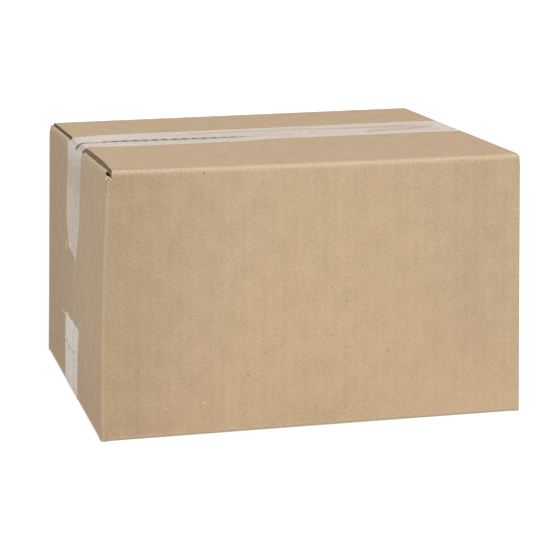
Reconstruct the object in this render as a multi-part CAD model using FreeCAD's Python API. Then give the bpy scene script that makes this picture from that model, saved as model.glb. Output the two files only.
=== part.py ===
import FreeCAD, Part
import math
import os

os.makedirs("parts", exist_ok=True)

# Closed shipping carton of corrugated board, sealed with clear packing tape.
# X runs along the length, the front faces -Y, +Z is up.
# The origin is at the middle of the underside, on the surface that the carton stands on.

# Driving dimensions, in millimetres

# Outside of the folded carton
carton_length = 320.0
carton_width = 280.0
carton_height = 195.0

# Corrugated board and its folds
board = 4.0
fold_outer_radius = 3.5
fold_inner_radius = 0.6
ply_clearance = 0.3

# Flaps: the outer ones hang on the long panels, the inner ones on the end panels
flap_cut_length = 139.5
outer_flap_rise = 2.5
outer_flap_setback_left = 4.0
outer_flap_setback_right = 2.0
inner_flap_side_gap = 8.0
inner_flap_joint_gap = 9.0
top_slot_depth = 5.0
bottom_slot_depth = 0.5

# Glued lap joint, at the back right corner
tab_width = 35.0
tab_end_gap = 12.0
tab_taper = 10.0
joint_edge_gap = 1.0

# Packing tape
tape_width = 63.5
tape_thickness = 0.1
top_tape_offset_left = 5.0
top_tape_offset_right = 17.0
top_tape_drop = 88.0
top_tape_full_drop = 57.0
top_tape_end_width = 32.0
top_tape_end_shift = -4.0
top_tape_drop_right = 62.0
bottom_tape_offset = 8.0
bottom_tape_climb_left = 56.0
bottom_tape_climb_right = 48.0
tape_tooth_pitch = 6.0
tape_tooth_depth = 2.4

# Places that follow from the sizes above
half_length = carton_length / 2
half_width = carton_width / 2
base = tape_thickness
top = base + carton_height
inner_flap_drop = board + ply_clearance
fold_leg = board + fold_outer_radius
outer_flap_reach = min(flap_cut_length, half_width - ply_clearance)
inner_flap_reach = min(flap_cut_length, half_length - ply_clearance)


def arc_at_corner(before, corner, after, radius):
    """Start, middle and end of the arc that rounds one corner of an outline."""
    to_before = (before - corner).normalize()
    to_after = (after - corner).normalize()
    half_angle = to_before.getAngle(to_after) / 2
    tangent_length = radius / math.tan(half_angle)
    towards_centre = (to_before + to_after).normalize()
    centre = corner + towards_centre * (radius / math.sin(half_angle))
    start = corner + to_before * tangent_length
    end = corner + to_after * tangent_length
    return start, centre - towards_centre * radius, end


def outline_face(corners):
    """Flat face inside an outline of (point, radius) corners; radius 0 keeps a corner sharp."""
    runs = []
    for index, (corner, radius) in enumerate(corners):
        if radius > 0:
            before = corners[index - 1][0]
            after = corners[(index + 1) % len(corners)][0]
            runs.append(arc_at_corner(before, corner, after, radius))
        else:
            runs.append((corner,))
    edges = []
    for index, run in enumerate(runs):
        if len(run) == 3:
            edges.append(Part.Arc(*run).toShape())
        next_start = runs[(index + 1) % len(runs)][0]
        edges.append(Part.makeLine(run[-1], next_start))
    return Part.Face(Part.Wire(edges))


def box_between(low, high):
    """Box from its lowest corner to its highest."""
    return Part.makeBox(high[0] - low[0], high[1] - low[1], high[2] - low[2], FreeCAD.Vector(*low))


# Carton: one sheet, slotted, creased and folded


def wall_outline():
    """Plan outline of the four panels and the glue tab, as one bent strip."""
    back_inside = half_width - board
    tab_outside = back_inside - ply_clearance
    tab_inside = tab_outside - board
    end_inside = half_length - board
    tab_end = end_inside - tab_width
    raw_edge = half_length - joint_edge_gap
    plan = [
        (raw_edge, half_width, 0),
        (-half_length, half_width, fold_outer_radius),
        (-half_length, -half_width, fold_outer_radius),
        (half_length, -half_width, fold_outer_radius),
        (half_length, tab_outside, fold_outer_radius),
        (tab_end, tab_outside, 0),
        (tab_end, tab_inside, 0),
        (end_inside, tab_inside, fold_inner_radius),
        (end_inside, -back_inside, fold_inner_radius),
        (-end_inside, -back_inside, fold_inner_radius),
        (-end_inside, back_inside, fold_inner_radius),
        (raw_edge, back_inside, 0),
    ]
    return [(FreeCAD.Vector(x, y, 0), radius) for x, y, radius in plan]


def tab_trim(edge, inwards):
    """Wedge that cuts the glue tab short at one end, sloping towards its free edge."""
    fold_x = half_length - board
    free_x = fold_x - tab_width - 1
    slope = tab_taper / tab_width
    fold_z = edge + inwards * tab_end_gap
    free_z = fold_z + inwards * slope * (fold_x - free_x)
    outside_z = edge - inwards * board
    y = half_width - board * 2 - ply_clearance
    corners = [(fold_x, fold_z), (free_x, free_z), (free_x, outside_z), (fold_x, outside_z)]
    face = outline_face([(FreeCAD.Vector(x, y, z), 0) for x, z in corners])
    return face.extrude(FreeCAD.Vector(0, board, 0))


def panel_walls():
    """The four upright panels between the slots, with room left for the end panels' folds."""
    height = carton_height - top_slot_depth - bottom_slot_depth
    walls = outline_face(wall_outline()).extrude(FreeCAD.Vector(0, 0, height))
    walls.translate(FreeCAD.Vector(0, 0, base + bottom_slot_depth))
    walls = walls.cut([tab_trim(top, -1), tab_trim(base, 1)])
    notch_height = inner_flap_drop + fold_leg
    notches = []
    for side in (-1, 1):
        outer_x = side * half_length
        inner_x = side * (half_length - board)
        front_y, back_y = inner_flap_span(side)
        for low_z in (base, top - notch_height):
            low = (min(outer_x, inner_x), front_y, low_z)
            high = (max(outer_x, inner_x), back_y, low_z + notch_height)
            notches.append(box_between(low, high))
    return walls.cut(notches)


def inner_flap_span(side):
    """Where an end panel's flaps start and stop along Y; side is -1 on the left, 1 on the right."""
    front_y = -half_width + inner_flap_side_gap
    back_gap = inner_flap_joint_gap if side > 0 else inner_flap_side_gap
    return front_y, half_width - back_gap


def flap_profile(reach, rise):
    """Section of a fold and its flap: (distance in from the panel's face, height above the crease)."""
    slope = rise / reach
    ply = board * math.hypot(1, slope)
    return [
        (0, -fold_leg, 0),
        (0, 0, fold_outer_radius),
        (reach, rise, 0),
        (reach, rise - ply, 0),
        (board, board * slope - ply, fold_inner_radius),
        (board, -fold_leg, 0),
    ]


def outer_flap(side, crease, upwards, rise):
    """Fold and flap of the front (side -1) or back (side 1) panel, top (upwards 1) or bottom (-1)."""
    start_x = -half_length + outer_flap_setback_left
    end_x = half_length - outer_flap_setback_right
    corners = []
    for inwards, height, radius in flap_profile(outer_flap_reach, rise):
        y = side * (half_width - inwards)
        corners.append((FreeCAD.Vector(start_x, y, crease + upwards * height), radius))
    return outline_face(corners).extrude(FreeCAD.Vector(end_x - start_x, 0, 0))


def inner_flap(side, crease, upwards):
    """Fold and flap of the left (side -1) or right (side 1) end panel; it lies flat inside the others."""
    start_y, end_y = inner_flap_span(side)
    corners = []
    for inwards, height, radius in flap_profile(inner_flap_reach, 0):
        x = side * (half_length - inwards)
        corners.append((FreeCAD.Vector(x, start_y, crease + upwards * height), radius))
    return outline_face(corners).extrude(FreeCAD.Vector(0, end_y - start_y, 0))


def carton():
    """The whole blank, folded shut: walls, glue tab, four outer flaps and four inner ones."""
    folds = []
    for side in (-1, 1):
        folds.append(outer_flap(side, top, 1, outer_flap_rise))
        folds.append(outer_flap(side, base, -1, 0))
        folds.append(inner_flap(side, top - inner_flap_drop, 1))
        folds.append(inner_flap(side, base + inner_flap_drop, -1))
    return panel_walls().fuse(folds).removeSplitter()


# Tape: strips laid over the seams and pressed down on both ends


def wrap_body(grow, corner_left, corner_right, rise, low_z, high_z, upwards):
    """Body that a tape wraps around; grow is how far it stands off the carton.

    It is the carton's lengthwise profile, with rounded ends, cut to the roof shape of the flaps.
    """
    crest = high_z if upwards > 0 else low_z
    far = low_z if upwards > 0 else high_z
    left_x = -half_length - grow
    right_x = half_length + grow
    crest_z = crest + upwards * (rise + grow)
    lengthwise = [
        (left_x, far, 0),
        (left_x, crest_z, corner_left + grow),
        (right_x, crest_z, corner_right + grow),
        (right_x, far, 0),
    ]
    profile = outline_face([(FreeCAD.Vector(x, -half_width, z), r) for x, z, r in lengthwise])
    body = profile.extrude(FreeCAD.Vector(0, carton_width, 0))
    eaves_z = crest + upwards * grow
    seam_edge = half_width - outer_flap_reach
    crosswise = [
        (-half_width, far),
        (-half_width, eaves_z),
        (-seam_edge, crest_z),
        (seam_edge, crest_z),
        (half_width, eaves_z),
        (half_width, far),
    ]
    gable = outline_face([(FreeCAD.Vector(left_x, y, z), 0) for y, z in crosswise])
    return body.common(gable.extrude(FreeCAD.Vector(right_x - left_x, 0, 0)))


def tape_skin(corner_left, corner_right, rise, upwards):
    """Layer one tape thick over the top or bottom and both ends, as wide as the carton."""
    args = (corner_left, corner_right, rise, base, top, upwards)
    return wrap_body(tape_thickness, *args).cut(wrap_body(0, *args))


def strip_prism(offset_left, offset_right):
    """Upright prism over the strip's plan: tape_width wide, between its offsets at the two ends."""
    reach = half_length + board
    slope = (offset_right - offset_left) / carton_length
    half_strip = tape_width / 2 * math.hypot(1, slope)
    left_y = offset_left - slope * board
    right_y = offset_right + slope * board
    corners = [
        (-reach, left_y - half_strip),
        (reach, right_y - half_strip),
        (reach, right_y + half_strip),
        (-reach, left_y + half_strip),
    ]
    face = outline_face([(FreeCAD.Vector(x, y, -board), 0) for x, y in corners])
    return face.extrude(FreeCAD.Vector(0, 0, carton_height + board * 3))


def end_cutter(side, points):
    """Block over one end of the carton, as an outline of (y, z) points extruded through the tape."""
    x = side * (half_length + board)
    face = outline_face([(FreeCAD.Vector(x, y, z), 0) for y, z in points])
    return face.extrude(FreeCAD.Vector(-side * board * 2, 0, 0))


def blade_cutter(side, centre_y, edge_z, upwards, far_z):
    """Block that cuts a tape's end on one side to the zigzag of a dispenser's blade, up to far_z."""
    root_z = edge_z - upwards * tape_tooth_depth
    teeth = math.ceil(tape_width / tape_tooth_pitch)
    start_y = centre_y - teeth * tape_tooth_pitch / 2
    end_y = start_y + teeth * tape_tooth_pitch
    points = [(start_y - tape_width, far_z), (start_y - tape_width, root_z)]
    for tooth in range(teeth):
        y = start_y + tooth * tape_tooth_pitch
        points.append((y, root_z))
        points.append((y + tape_tooth_pitch / 2, edge_z))
    points += [(end_y, root_z), (end_y + tape_width, root_z), (end_y + tape_width, far_z)]
    return end_cutter(side, points)


def top_tape():
    """Strip over the top seam; its left end runs down the end panel and narrows where it was torn."""
    skin = tape_skin(outer_flap_setback_left, outer_flap_setback_right, outer_flap_rise, 1)
    strip = skin.common(strip_prism(top_tape_offset_left, top_tape_offset_right))
    left_y = top_tape_offset_left
    margin = tape_width
    shoulder_z = top - top_tape_full_drop
    tip_z = top - top_tape_drop
    tip_front = left_y + top_tape_end_shift - top_tape_end_width / 2
    tip_back = left_y + top_tape_end_shift + top_tape_end_width / 2
    below_left = end_cutter(-1, [
        (left_y - margin, base - board),
        (left_y - margin, shoulder_z),
        (left_y - tape_width / 2, shoulder_z),
        (tip_front, tip_z),
        (tip_back, tip_z),
        (left_y + tape_width / 2, shoulder_z),
        (left_y + margin, shoulder_z),
        (left_y + margin, base - board),
    ])
    right_end_z = top - top_tape_drop_right
    below_right = blade_cutter(1, top_tape_offset_right, right_end_z, -1, base - board)
    return strip.cut([below_left, below_right])


def bottom_tape():
    """Strip under the bottom seam; both ends run up the end panels to a blade's zigzag cut."""
    skin = tape_skin(outer_flap_setback_left, outer_flap_setback_right, 0, -1)
    strip = skin.common(strip_prism(bottom_tape_offset, bottom_tape_offset))
    cutters = []
    for side, climb in ((-1, bottom_tape_climb_left), (1, bottom_tape_climb_right)):
        cutters.append(blade_cutter(side, bottom_tape_offset, base + climb, 1, top + board))
    return strip.cut(cutters)


nodes = {
    "carton": carton(),
    "top_tape": top_tape(),
    "bottom_tape": bottom_tape(),
}

for name, shape in nodes.items():
    shape.exportStep("parts/" + name + ".step")
    size = shape.BoundBox
    print(name, "solids", len(shape.Solids), "valid", shape.isValid(), "volume", round(shape.Volume, 1),
          "size", round(size.XLength, 2), round(size.YLength, 2), round(size.ZLength, 2))
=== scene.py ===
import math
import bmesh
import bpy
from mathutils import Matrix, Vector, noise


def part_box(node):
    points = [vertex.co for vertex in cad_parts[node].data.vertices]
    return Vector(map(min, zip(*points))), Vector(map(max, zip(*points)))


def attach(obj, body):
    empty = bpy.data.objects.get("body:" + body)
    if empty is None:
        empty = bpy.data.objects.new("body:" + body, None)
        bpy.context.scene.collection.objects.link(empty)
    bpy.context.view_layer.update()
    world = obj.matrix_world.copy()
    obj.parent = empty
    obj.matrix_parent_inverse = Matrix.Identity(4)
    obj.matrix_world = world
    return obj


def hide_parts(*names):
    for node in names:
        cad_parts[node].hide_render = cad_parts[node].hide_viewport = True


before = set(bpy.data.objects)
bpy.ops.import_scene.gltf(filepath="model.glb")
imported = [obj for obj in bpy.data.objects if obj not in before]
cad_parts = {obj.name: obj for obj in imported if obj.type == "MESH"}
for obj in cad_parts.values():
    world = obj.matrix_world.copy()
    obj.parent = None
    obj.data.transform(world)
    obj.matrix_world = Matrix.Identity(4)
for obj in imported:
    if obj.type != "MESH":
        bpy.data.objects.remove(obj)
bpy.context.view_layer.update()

# %% [markdown]
# # A closed cardboard box
#
# A shipping carton is one sheet of corrugated board. It is slotted, creased and folded into four
# walls and eight flaps, and packing tape holds it shut. This lesson folds such a sheet by formula,
# gives it the colour and wear of kraft paper, and lays two strips of tape over the seams. The
# measured solids give the sizes, so the visible model stands exactly where they do.

MM = 0.001
carton_low, carton_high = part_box("carton")
FLAP_RISE = 2.5 * MM
BASE = carton_low[2]
TOP = carton_high[2] - FLAP_RISE
HEIGHT = TOP - BASE
HALF_LENGTH = (carton_high[0] - carton_low[0]) / 2
HALF_WIDTH = (carton_high[1] - carton_low[1]) / 2
LENGTH = HALF_LENGTH * 2
WIDTH = HALF_WIDTH * 2
print("carton", round(LENGTH / MM, 1), round(WIDTH / MM, 1), round(HEIGHT / MM, 1), "mm")

# %% [markdown]
# ## Camera
#
# The product photograph was taken from a few metres away with a long lens, a little above the
# carton and to its left. The heading, tilt and distance below give the same foreshortening of the
# top and of the end panel.

# %% Camera
CAMERA_HEADING = -14.535
CAMERA_TILT = 12.338
CAMERA_PLACE = (-0.3609, -1.4254, 0.4023)
LENS_LENGTH = 121.25
SENSOR_WIDTH = 36


def add_object(name, data):
    """New object with this data, linked to the scene."""
    made = bpy.data.objects.new(name, data)
    bpy.context.scene.collection.objects.link(made)
    return made


camera_data = bpy.data.cameras.new("camera")
camera_data.lens = LENS_LENGTH
camera_data.sensor_width = SENSOR_WIDTH
camera = add_object("camera", camera_data)
camera.location = CAMERA_PLACE
camera.rotation_euler = (math.radians(90 - CAMERA_TILT), 0, math.radians(CAMERA_HEADING))
bpy.context.scene.camera = camera
bpy.context.scene.view_settings.view_transform = "Standard"
print("camera", CAMERA_PLACE, LENS_LENGTH, "mm")

# %% [markdown]
# ## Light and floor
#
# A carton for a catalogue is shot in a bright tent: soft light from everywhere and one broad lamp
# in front and above. A world of even light and a wide sun do the same. The floor is white for the
# camera, through a little emission that only camera rays see, so it still shows a faint shadow
# where the carton stands and adds no light to it.
#
# Node trees take a few lines for each node. A helper that adds a node, sets it and links its inputs
# keeps the light, the finishes and the Geometry Nodes below short.

# %% Helpers for nodes
def put(socket, value):
    """Links a socket to another, or sets its value."""
    if isinstance(value, bpy.types.NodeSocket):
        socket.id_data.links.new(value, socket)
    else:
        socket.default_value = value


def add_node(tree, kind, inputs=None, **settings):
    """New node with these settings, and a value or a link for each named or numbered input."""
    node = tree.nodes.new(kind)
    for name, value in settings.items():
        setattr(node, name, value)
    for name, value in (inputs or {}).items():
        put(node.inputs[name], value)
    return node


def calculate(tree, operation, first, second=0.0, third=0.0):
    """Math node; returns its result."""
    inputs = {0: first, 1: second, 2: third}
    return add_node(tree, "ShaderNodeMath", inputs, operation=operation).outputs[0]


def seen_directly(tree):
    """Socket that is 1 for camera, mirror and see-through rays and 0 for the rays that carry light."""
    path = add_node(tree, "ShaderNodeLightPath").outputs
    seen = calculate(tree, "MAXIMUM", path["Is Camera Ray"], path["Is Glossy Ray"])
    return calculate(tree, "MAXIMUM", seen, path["Is Transmission Ray"])


def new_material(name):
    """Empty material with nodes."""
    material = bpy.data.materials.new(name)
    material.use_nodes = True
    material.node_tree.nodes.clear()
    return material


print("helpers for nodes are ready")

# %% Light
TENT_COLOUR = (0.95, 0.98, 1.05, 1)
TENT_STRENGTH = 0.45
BACKDROP_COLOUR = (1, 1, 1, 1)
LAMP_COLOUR = (1.0, 0.985, 0.93)
LAMP_STRENGTH = 2.05
LAMP_ANGLE = 40
LAMP_FROM = Vector((-0.085, -0.385, 0.52))

world = bpy.data.worlds.new("tent")
bpy.context.scene.world = world
world.use_nodes = True
sky = world.node_tree
sky.nodes.clear()
tent = add_node(sky, "ShaderNodeBackground", {"Color": TENT_COLOUR, "Strength": TENT_STRENGTH})
backdrop = add_node(sky, "ShaderNodeBackground", {"Color": BACKDROP_COLOUR, "Strength": 1})
tent_or_backdrop = {0: seen_directly(sky), 1: tent.outputs[0], 2: backdrop.outputs[0]}
sky_mix = add_node(sky, "ShaderNodeMixShader", tent_or_backdrop)
add_node(sky, "ShaderNodeOutputWorld", {"Surface": sky_mix.outputs[0]})

lamp_data = bpy.data.lights.new("lamp", "SUN")
lamp_data.energy = LAMP_STRENGTH
lamp_data.angle = math.radians(LAMP_ANGLE)
lamp_data.color = LAMP_COLOUR
lamp = add_object("lamp", lamp_data)
lamp.rotation_euler = LAMP_FROM.to_track_quat("Z", "Y").to_euler()
print("lamp", LAMP_STRENGTH, "over a tent of", TENT_STRENGTH)

# %% Floor
FLOOR_REACH = 6.0
FLOOR_COLOUR = (0.8, 0.8, 0.8, 1)
FLOOR_GLOW = 0.42


def mesh_object(name, points, faces, material):
    """Object at the origin with a mesh of these points and faces."""
    mesh = bpy.data.meshes.new(name)
    mesh.from_pydata(points, [], faces)
    mesh.materials.append(material)
    return add_object(name, mesh)


floor_material = new_material("floor")
floor_tree = floor_material.node_tree
floor_diffuse = add_node(floor_tree, "ShaderNodeBsdfDiffuse", {"Color": FLOOR_COLOUR})
glow = calculate(floor_tree, "MULTIPLY", seen_directly(floor_tree), FLOOR_GLOW)
floor_glow = add_node(floor_tree, "ShaderNodeEmission", {"Strength": glow})
floor_parts = {0: floor_diffuse.outputs[0], 1: floor_glow.outputs[0]}
floor_sum = add_node(floor_tree, "ShaderNodeAddShader", floor_parts)
add_node(floor_tree, "ShaderNodeOutputMaterial", {"Surface": floor_sum.outputs[0]})

floor_corners = [(-FLOOR_REACH, -FLOOR_REACH, 0), (FLOOR_REACH, -FLOOR_REACH, 0),
                 (FLOOR_REACH, FLOOR_REACH, 0), (-FLOOR_REACH, FLOOR_REACH, 0)]
floor = mesh_object("floor", floor_corners, [(0, 1, 2, 3)], floor_material)
print("floor", FLOOR_REACH * 2, "m wide")

# %% [markdown]
# ## How the closed carton sits
#
# A carton that has been filled and taped is never quite square. The flaps are pushed up from
# inside, most near the left end, and the tape holds their corners down. The back flap stands a
# little above the front one for the first third of the seam, which bares the hollows of its cut
# edge. The top of the left end panel leans in at the front. These are small smooth functions of the
# place, so that the board, its cut edges and the tape can all follow the same ones.

# %% Lift of the flaps and lean of the end panel
FLAP_REACH = 139.5 * MM
RISE_AT_LEFT = 1.6 * MM
RISE_FADE = 0.75
RISE_START = 0.10
RISE_END = 0.08
STEP_AT_SEAM = 1.1 * MM
STEP_START = 0.03
STEP_STOP = 0.38
STEP_FADE = 0.12
END_CURL_FRONT = 1.8 * MM
END_CURL_BACK = 0.4 * MM
END_CURL_REACH = 0.12
LEAN = 4.6 * MM
LEAN_SPREAD = 70 * MM
CREASE_SAG = 0.88 * MM
CREASE_RISE_FRONT = (1.4 * MM, 1.6 * MM)
CREASE_RISE_BACK = (-1.0 * MM, 2.0 * MM)
BOTTOM_ARCH = 0.45 * MM
PANEL_SWELL = 0.8 * MM
LEFT_DRAWN_IN = 4.4 * MM
RIGHT_DRAWN_IN = 4.2 * MM
BACK_RIGHT_EASED = 2.6 * MM
BACK_LEFT_DRAWN_IN = 1.2 * MM
SIDES_DRAWN_IN = 1.0 * MM
FLAP_BELLY = 0.15
END_CURL_STEEPNESS = 3.5
END_CURL_DROP = 0.45
END_CURL_DROP_START = 0.6
LEAN_POWER = 3
NEAR_FRONT = 1 / 2.5
SWELL_REACH = 1 / 12


def within(value):
    """Value kept between 0 and 1."""
    return min(max(value, 0.0), 1.0)


def smooth(value):
    """Smooth step from 0 to 1."""
    value = within(value)
    return value * value * (3 - 2 * value)


def blend(first, second, share):
    """Value on the way from the first to the second."""
    return first + (second - first) * share


def share_along(x):
    """Share of the carton's length: 0 at its left end, 1 at its right end."""
    return within((x + HALF_LENGTH) / LENGTH)


def share_back(y):
    """Share of the carton's width: 0 at its front, 1 at its back."""
    return within((y + HALF_WIDTH) / WIDTH)


def seam_rise(x, side):
    """Height of a flap's seam edge above the crease; side is -1 for the front flap, 1 for the back."""
    along = share_along(x)
    rise = RISE_AT_LEFT * (1 - RISE_FADE * along)
    rise *= smooth(along / RISE_START) * smooth((1 - along) / RISE_END)
    if side < 0:
        step = smooth(along / STEP_START) * (1 - smooth((along - STEP_STOP) / STEP_FADE))
        rise -= min(STEP_AT_SEAM * step, rise)
    return rise


def crease_rise(x, y):
    """How much the flaps' creases stand above the height of a square carton, by left and right ends."""
    front = blend(*CREASE_RISE_FRONT, share_along(x))
    rear = blend(*CREASE_RISE_BACK, share_along(x))
    return blend(front, rear, share_back(y))


def end_curl(x, share, side):
    """Height of the curl of a flap's left end; share is 0 at the crease and 1 at the seam."""
    fade = 1 - smooth(share_along(x) / END_CURL_REACH)
    height = END_CURL_FRONT if side < 0 else END_CURL_BACK
    drop = END_CURL_DROP * smooth((share - END_CURL_DROP_START) / (1 - END_CURL_DROP_START))
    return height * fade * smooth(share * END_CURL_STEEPNESS) * (1 - drop)


def flap_lift(x, y):
    """How far the top of an outer flap stands above its crease at one place."""
    side = -1 if y < 0 else 1
    share = within((HALF_WIDTH - abs(y)) / FLAP_REACH)
    rise = seam_rise(x, side) * share * (1 + FLAP_BELLY - FLAP_BELLY * share)
    return rise + end_curl(x, share, side)


def settle(point):
    """Where a point of the squarely folded carton ends up on the filled and taped one."""
    x, y, z = point
    up = within((z - BASE) / HEIGHT)
    back = share_back(y)
    along = share_along(x)
    near_left = smooth(1 - (x + HALF_LENGTH) / LEAN_SPREAD)
    near_front = smooth(1 - back / NEAR_FRONT)
    bow = math.sin(math.pi * along)
    swell = PANEL_SWELL * bow * math.sin(math.pi * up) * smooth(1 - back / SWELL_REACH)
    drawn_left = (LEFT_DRAWN_IN + BACK_LEFT_DRAWN_IN * back) * (1 - along)
    drawn_right = (RIGHT_DRAWN_IN - BACK_RIGHT_EASED * back) * along
    x += LEAN * up ** LEAN_POWER * (1 - back) * near_left + up * (drawn_left - drawn_right)
    y -= swell + SIDES_DRAWN_IN * up * (back * 2 - 1)
    z += bow * near_front * (BOTTOM_ARCH * (1 - up) ** 2 - CREASE_SAG * up * up)
    return Vector((x, y, z))


print("seam edges rise", round(seam_rise(-HALF_LENGTH * 0.8, 1) / MM, 2), "mm near the left end")

# %% Where the top tape holds the flaps down
TAPE_WIDTH = 63.5 * MM
TOP_OFFSET_LEFT = 5.0 * MM
TOP_OFFSET_RIGHT = 17.0 * MM
HOLD_FADE = 10 * MM
CRUSH = 1.0 * MM
CRUSH_RIGHT = 0.15
CRUSH_START = 10 * MM
CRUSH_FULL = 4 * MM


def top_tape_middle(x):
    """Place across the box of the top strip's middle line."""
    return blend(TOP_OFFSET_LEFT, TOP_OFFSET_RIGHT, share_along(x))


def held_by_tape(x, y):
    """1 under the top strip, fading to 0 beside it."""
    beside = abs(y - top_tape_middle(x)) - TAPE_WIDTH / 2
    return 1 - smooth(beside / HOLD_FADE)


def flap_end_crush(x, y):
    """How far the taut tape presses down the upper face of a flap's end."""
    inset = HALF_LENGTH - abs(x)
    strength = CRUSH if x < 0 else CRUSH * CRUSH_RIGHT
    near_end = smooth((CRUSH_START - inset) / (CRUSH_START - CRUSH_FULL))
    return strength * held_by_tape(x, y) * near_end


print("crush at the left end", round(flap_end_crush(-HALF_LENGTH + CRUSH_FULL, 0) / MM, 2), "mm")

# %% [markdown]
# ## The folded sheet
#
# The carton could be eight boxes pushed together, but then the creases, slots and cut edges would
# be missing, and those are what make it look like cardboard. Here the flat blank is a grid of lines
# and rows. One function says where a point of the blank lies once it is folded, for any depth in
# the board. Both faces of the sheet use it, so the paper is one piece from flap to flap.

# %% A fold, seen from its end
BOARD = 4.0 * MM
FOLD_INSIDE = 0.6 * MM
FOLD_LEG = BOARD + FOLD_INSIDE
CORNER_RADIUS = 2.5 * MM
OUTER_FLAP_RADIUS = 2.8 * MM
INNER_FLAP_RADIUS = 1.3 * MM
FOLD_STEPS = 10


def fold_path(radius):
    """Length of the outer paper round a fold."""
    return (FOLD_LEG - radius) * 2 + radius * math.pi / 2


def around_fold(share, depth, radius):
    """Point of a right-angled fold: (distance short of the corner, distance past it).

    share goes from 0 to 1 round the fold, depth from 0 at the outer face to BOARD at the inner.
    """
    straight = FOLD_LEG - radius
    path = share * fold_path(radius)
    turn = min(max((path - straight) / radius, 0.0), math.pi / 2)
    short = radius * (1 - math.sin(turn)) + max(straight - path, 0.0)
    past = radius * (1 - math.cos(turn)) + max(path - fold_path(radius) + straight, 0.0)
    inner_turn = share * math.pi / 2
    inner_short = FOLD_LEG - FOLD_INSIDE * math.sin(inner_turn)
    inner_past = FOLD_LEG - FOLD_INSIDE * math.cos(inner_turn)
    deep = depth / BOARD
    return blend(short, inner_short, deep), blend(past, inner_past, deep)


FOLD_PATH = fold_path(OUTER_FLAP_RADIUS)
print("a fold takes", round(FOLD_PATH / MM, 2), "mm of the outer paper")

# %% Panels of the blank
from collections import namedtuple

PLY_CLEARANCE = 0.3 * MM
INNER_DROP = BOARD + PLY_CLEARANCE
TAB_WIDTH = 35.0 * MM
GRID = 5.0 * MM

Panel = namedtuple("Panel", "name corner_x corner_y way_x way_y length")
BACK = Panel("back", HALF_LENGTH, HALF_WIDTH, -1, 0, LENGTH)
LEFT = Panel("left", -HALF_LENGTH, HALF_WIDTH, 0, -1, WIDTH)
FRONT = Panel("front", -HALF_LENGTH, -HALF_WIDTH, 1, 0, LENGTH)
RIGHT = Panel("right", HALF_LENGTH, -HALF_WIDTH, 0, 1, WIDTH - INNER_DROP)
TAB = Panel("tab", HALF_LENGTH, HALF_WIDTH - INNER_DROP, -1, 0, BOARD + TAB_WIDTH)


def spaced(start, stop, step):
    """Evenly spaced values from start to stop, about step apart."""
    count = max(1, round(abs(stop - start) / step))
    return [start + (stop - start) * index / count for index in range(count + 1)]


def on_plan(panel, along, inwards):
    """Place in plan, from the distance along a panel and the distance in from its outer face."""
    x = panel.corner_x + panel.way_x * along - panel.way_y * inwards
    y = panel.corner_y + panel.way_y * along + panel.way_x * inwards
    return x, y


blank_length = sum(panel.length for panel in (BACK, LEFT, FRONT, RIGHT, TAB))
print("the blank is", round(blank_length, 3), "m long")

# %% Lines of the blank, which run up and down
LAP_GAP = 1.0 * MM
SETBACK_LEFT = 4.0 * MM
SETBACK_FRONT_LEFT = 2.9 * MM
SETBACK_RIGHT = 2.0 * MM
INNER_SIDE_GAP = 8.0 * MM
SLIT = 0.4 * MM
BOTTOM_SETBACK = FOLD_LEG + 0.1 * MM

# A flap place is what a line becomes above or below the wall: the kind of flap, its panel and the
# distance along it. A turn is the share of the vertical fold after the panel.
FlapPlace = namedtuple("FlapPlace", "kind panel along")
Line = namedtuple("Line", "panel along turn blank top bottom")
POST = FlapPlace("post", None, 0)

lines = []
strips = []


def add_line(strip, panel, along, turn, blank, top, bottom):
    """Adds a line; strip is the kind of board between it and the line before."""
    if lines:
        strips.append(strip)
    lines.append(Line(panel, along, turn, blank, top, bottom))


def add_panel_lines(panel, start, stop, kind, blank, first_strip):
    """Lines of the straight part of a panel that has flaps."""
    strip = first_strip
    for along in spaced(start, stop, GRID):
        place = FlapPlace(kind, panel, along)
        add_line(strip, panel, along, None, blank + along, place, place)
        strip = "flap"


def add_corner_lines(panel, blank, strip, top_before, top_after):
    """Lines of the vertical fold after a panel, with the flap ends that hang over it."""
    along = panel.length - FOLD_LEG
    for step in range(FOLD_STEPS + 1):
        turn = step / FOLD_STEPS
        top = {0: top_before, FOLD_STEPS: top_after}.get(step, POST)
        add_line(strip, panel, along, turn, blank + along + turn * FOLD_PATH, top, POST)
        strip = "post"


def add_end_panel_lines(panel, far_gap, blank):
    """Lines of an end panel, whose flaps are narrower than the panel."""
    first = INNER_SIDE_GAP - SLIT
    last = panel.length - far_gap
    add_line("post", panel, first, None, blank + first, POST, POST)
    add_panel_lines(panel, INNER_SIDE_GAP, last, "inner", blank, "slit")
    if far_gap > FOLD_LEG + SLIT:
        add_line("slit", panel, last + SLIT, None, blank + last + SLIT, POST, POST)
        return "post"
    return "slit"


corner_step = FOLD_PATH - FOLD_LEG * 2
blank = 0.0
add_line("flap", BACK, LAP_GAP, None, LAP_GAP, FlapPlace("outer", BACK, SETBACK_RIGHT),
         FlapPlace("outer", BACK, BOTTOM_SETBACK))
add_panel_lines(BACK, GRID * 2, LENGTH - BOTTOM_SETBACK, "outer", blank, "flap")
add_corner_lines(BACK, blank, "edge", FlapPlace("outer", BACK, LENGTH - SETBACK_LEFT), POST)
blank += BACK.length + corner_step
strip = add_end_panel_lines(LEFT, INNER_SIDE_GAP, blank)
add_corner_lines(LEFT, blank, strip, POST, FlapPlace("outer", FRONT, SETBACK_FRONT_LEFT))
blank += LEFT.length + corner_step
add_panel_lines(FRONT, BOTTOM_SETBACK, LENGTH - BOTTOM_SETBACK, "outer", blank, "edge")
add_corner_lines(FRONT, blank, "edge", FlapPlace("outer", FRONT, LENGTH - SETBACK_RIGHT), POST)
blank += FRONT.length + corner_step
strip = add_end_panel_lines(RIGHT, FOLD_LEG + SLIT, blank)
add_corner_lines(RIGHT, blank, strip, POST, POST)
blank += RIGHT.length + corner_step
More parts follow.
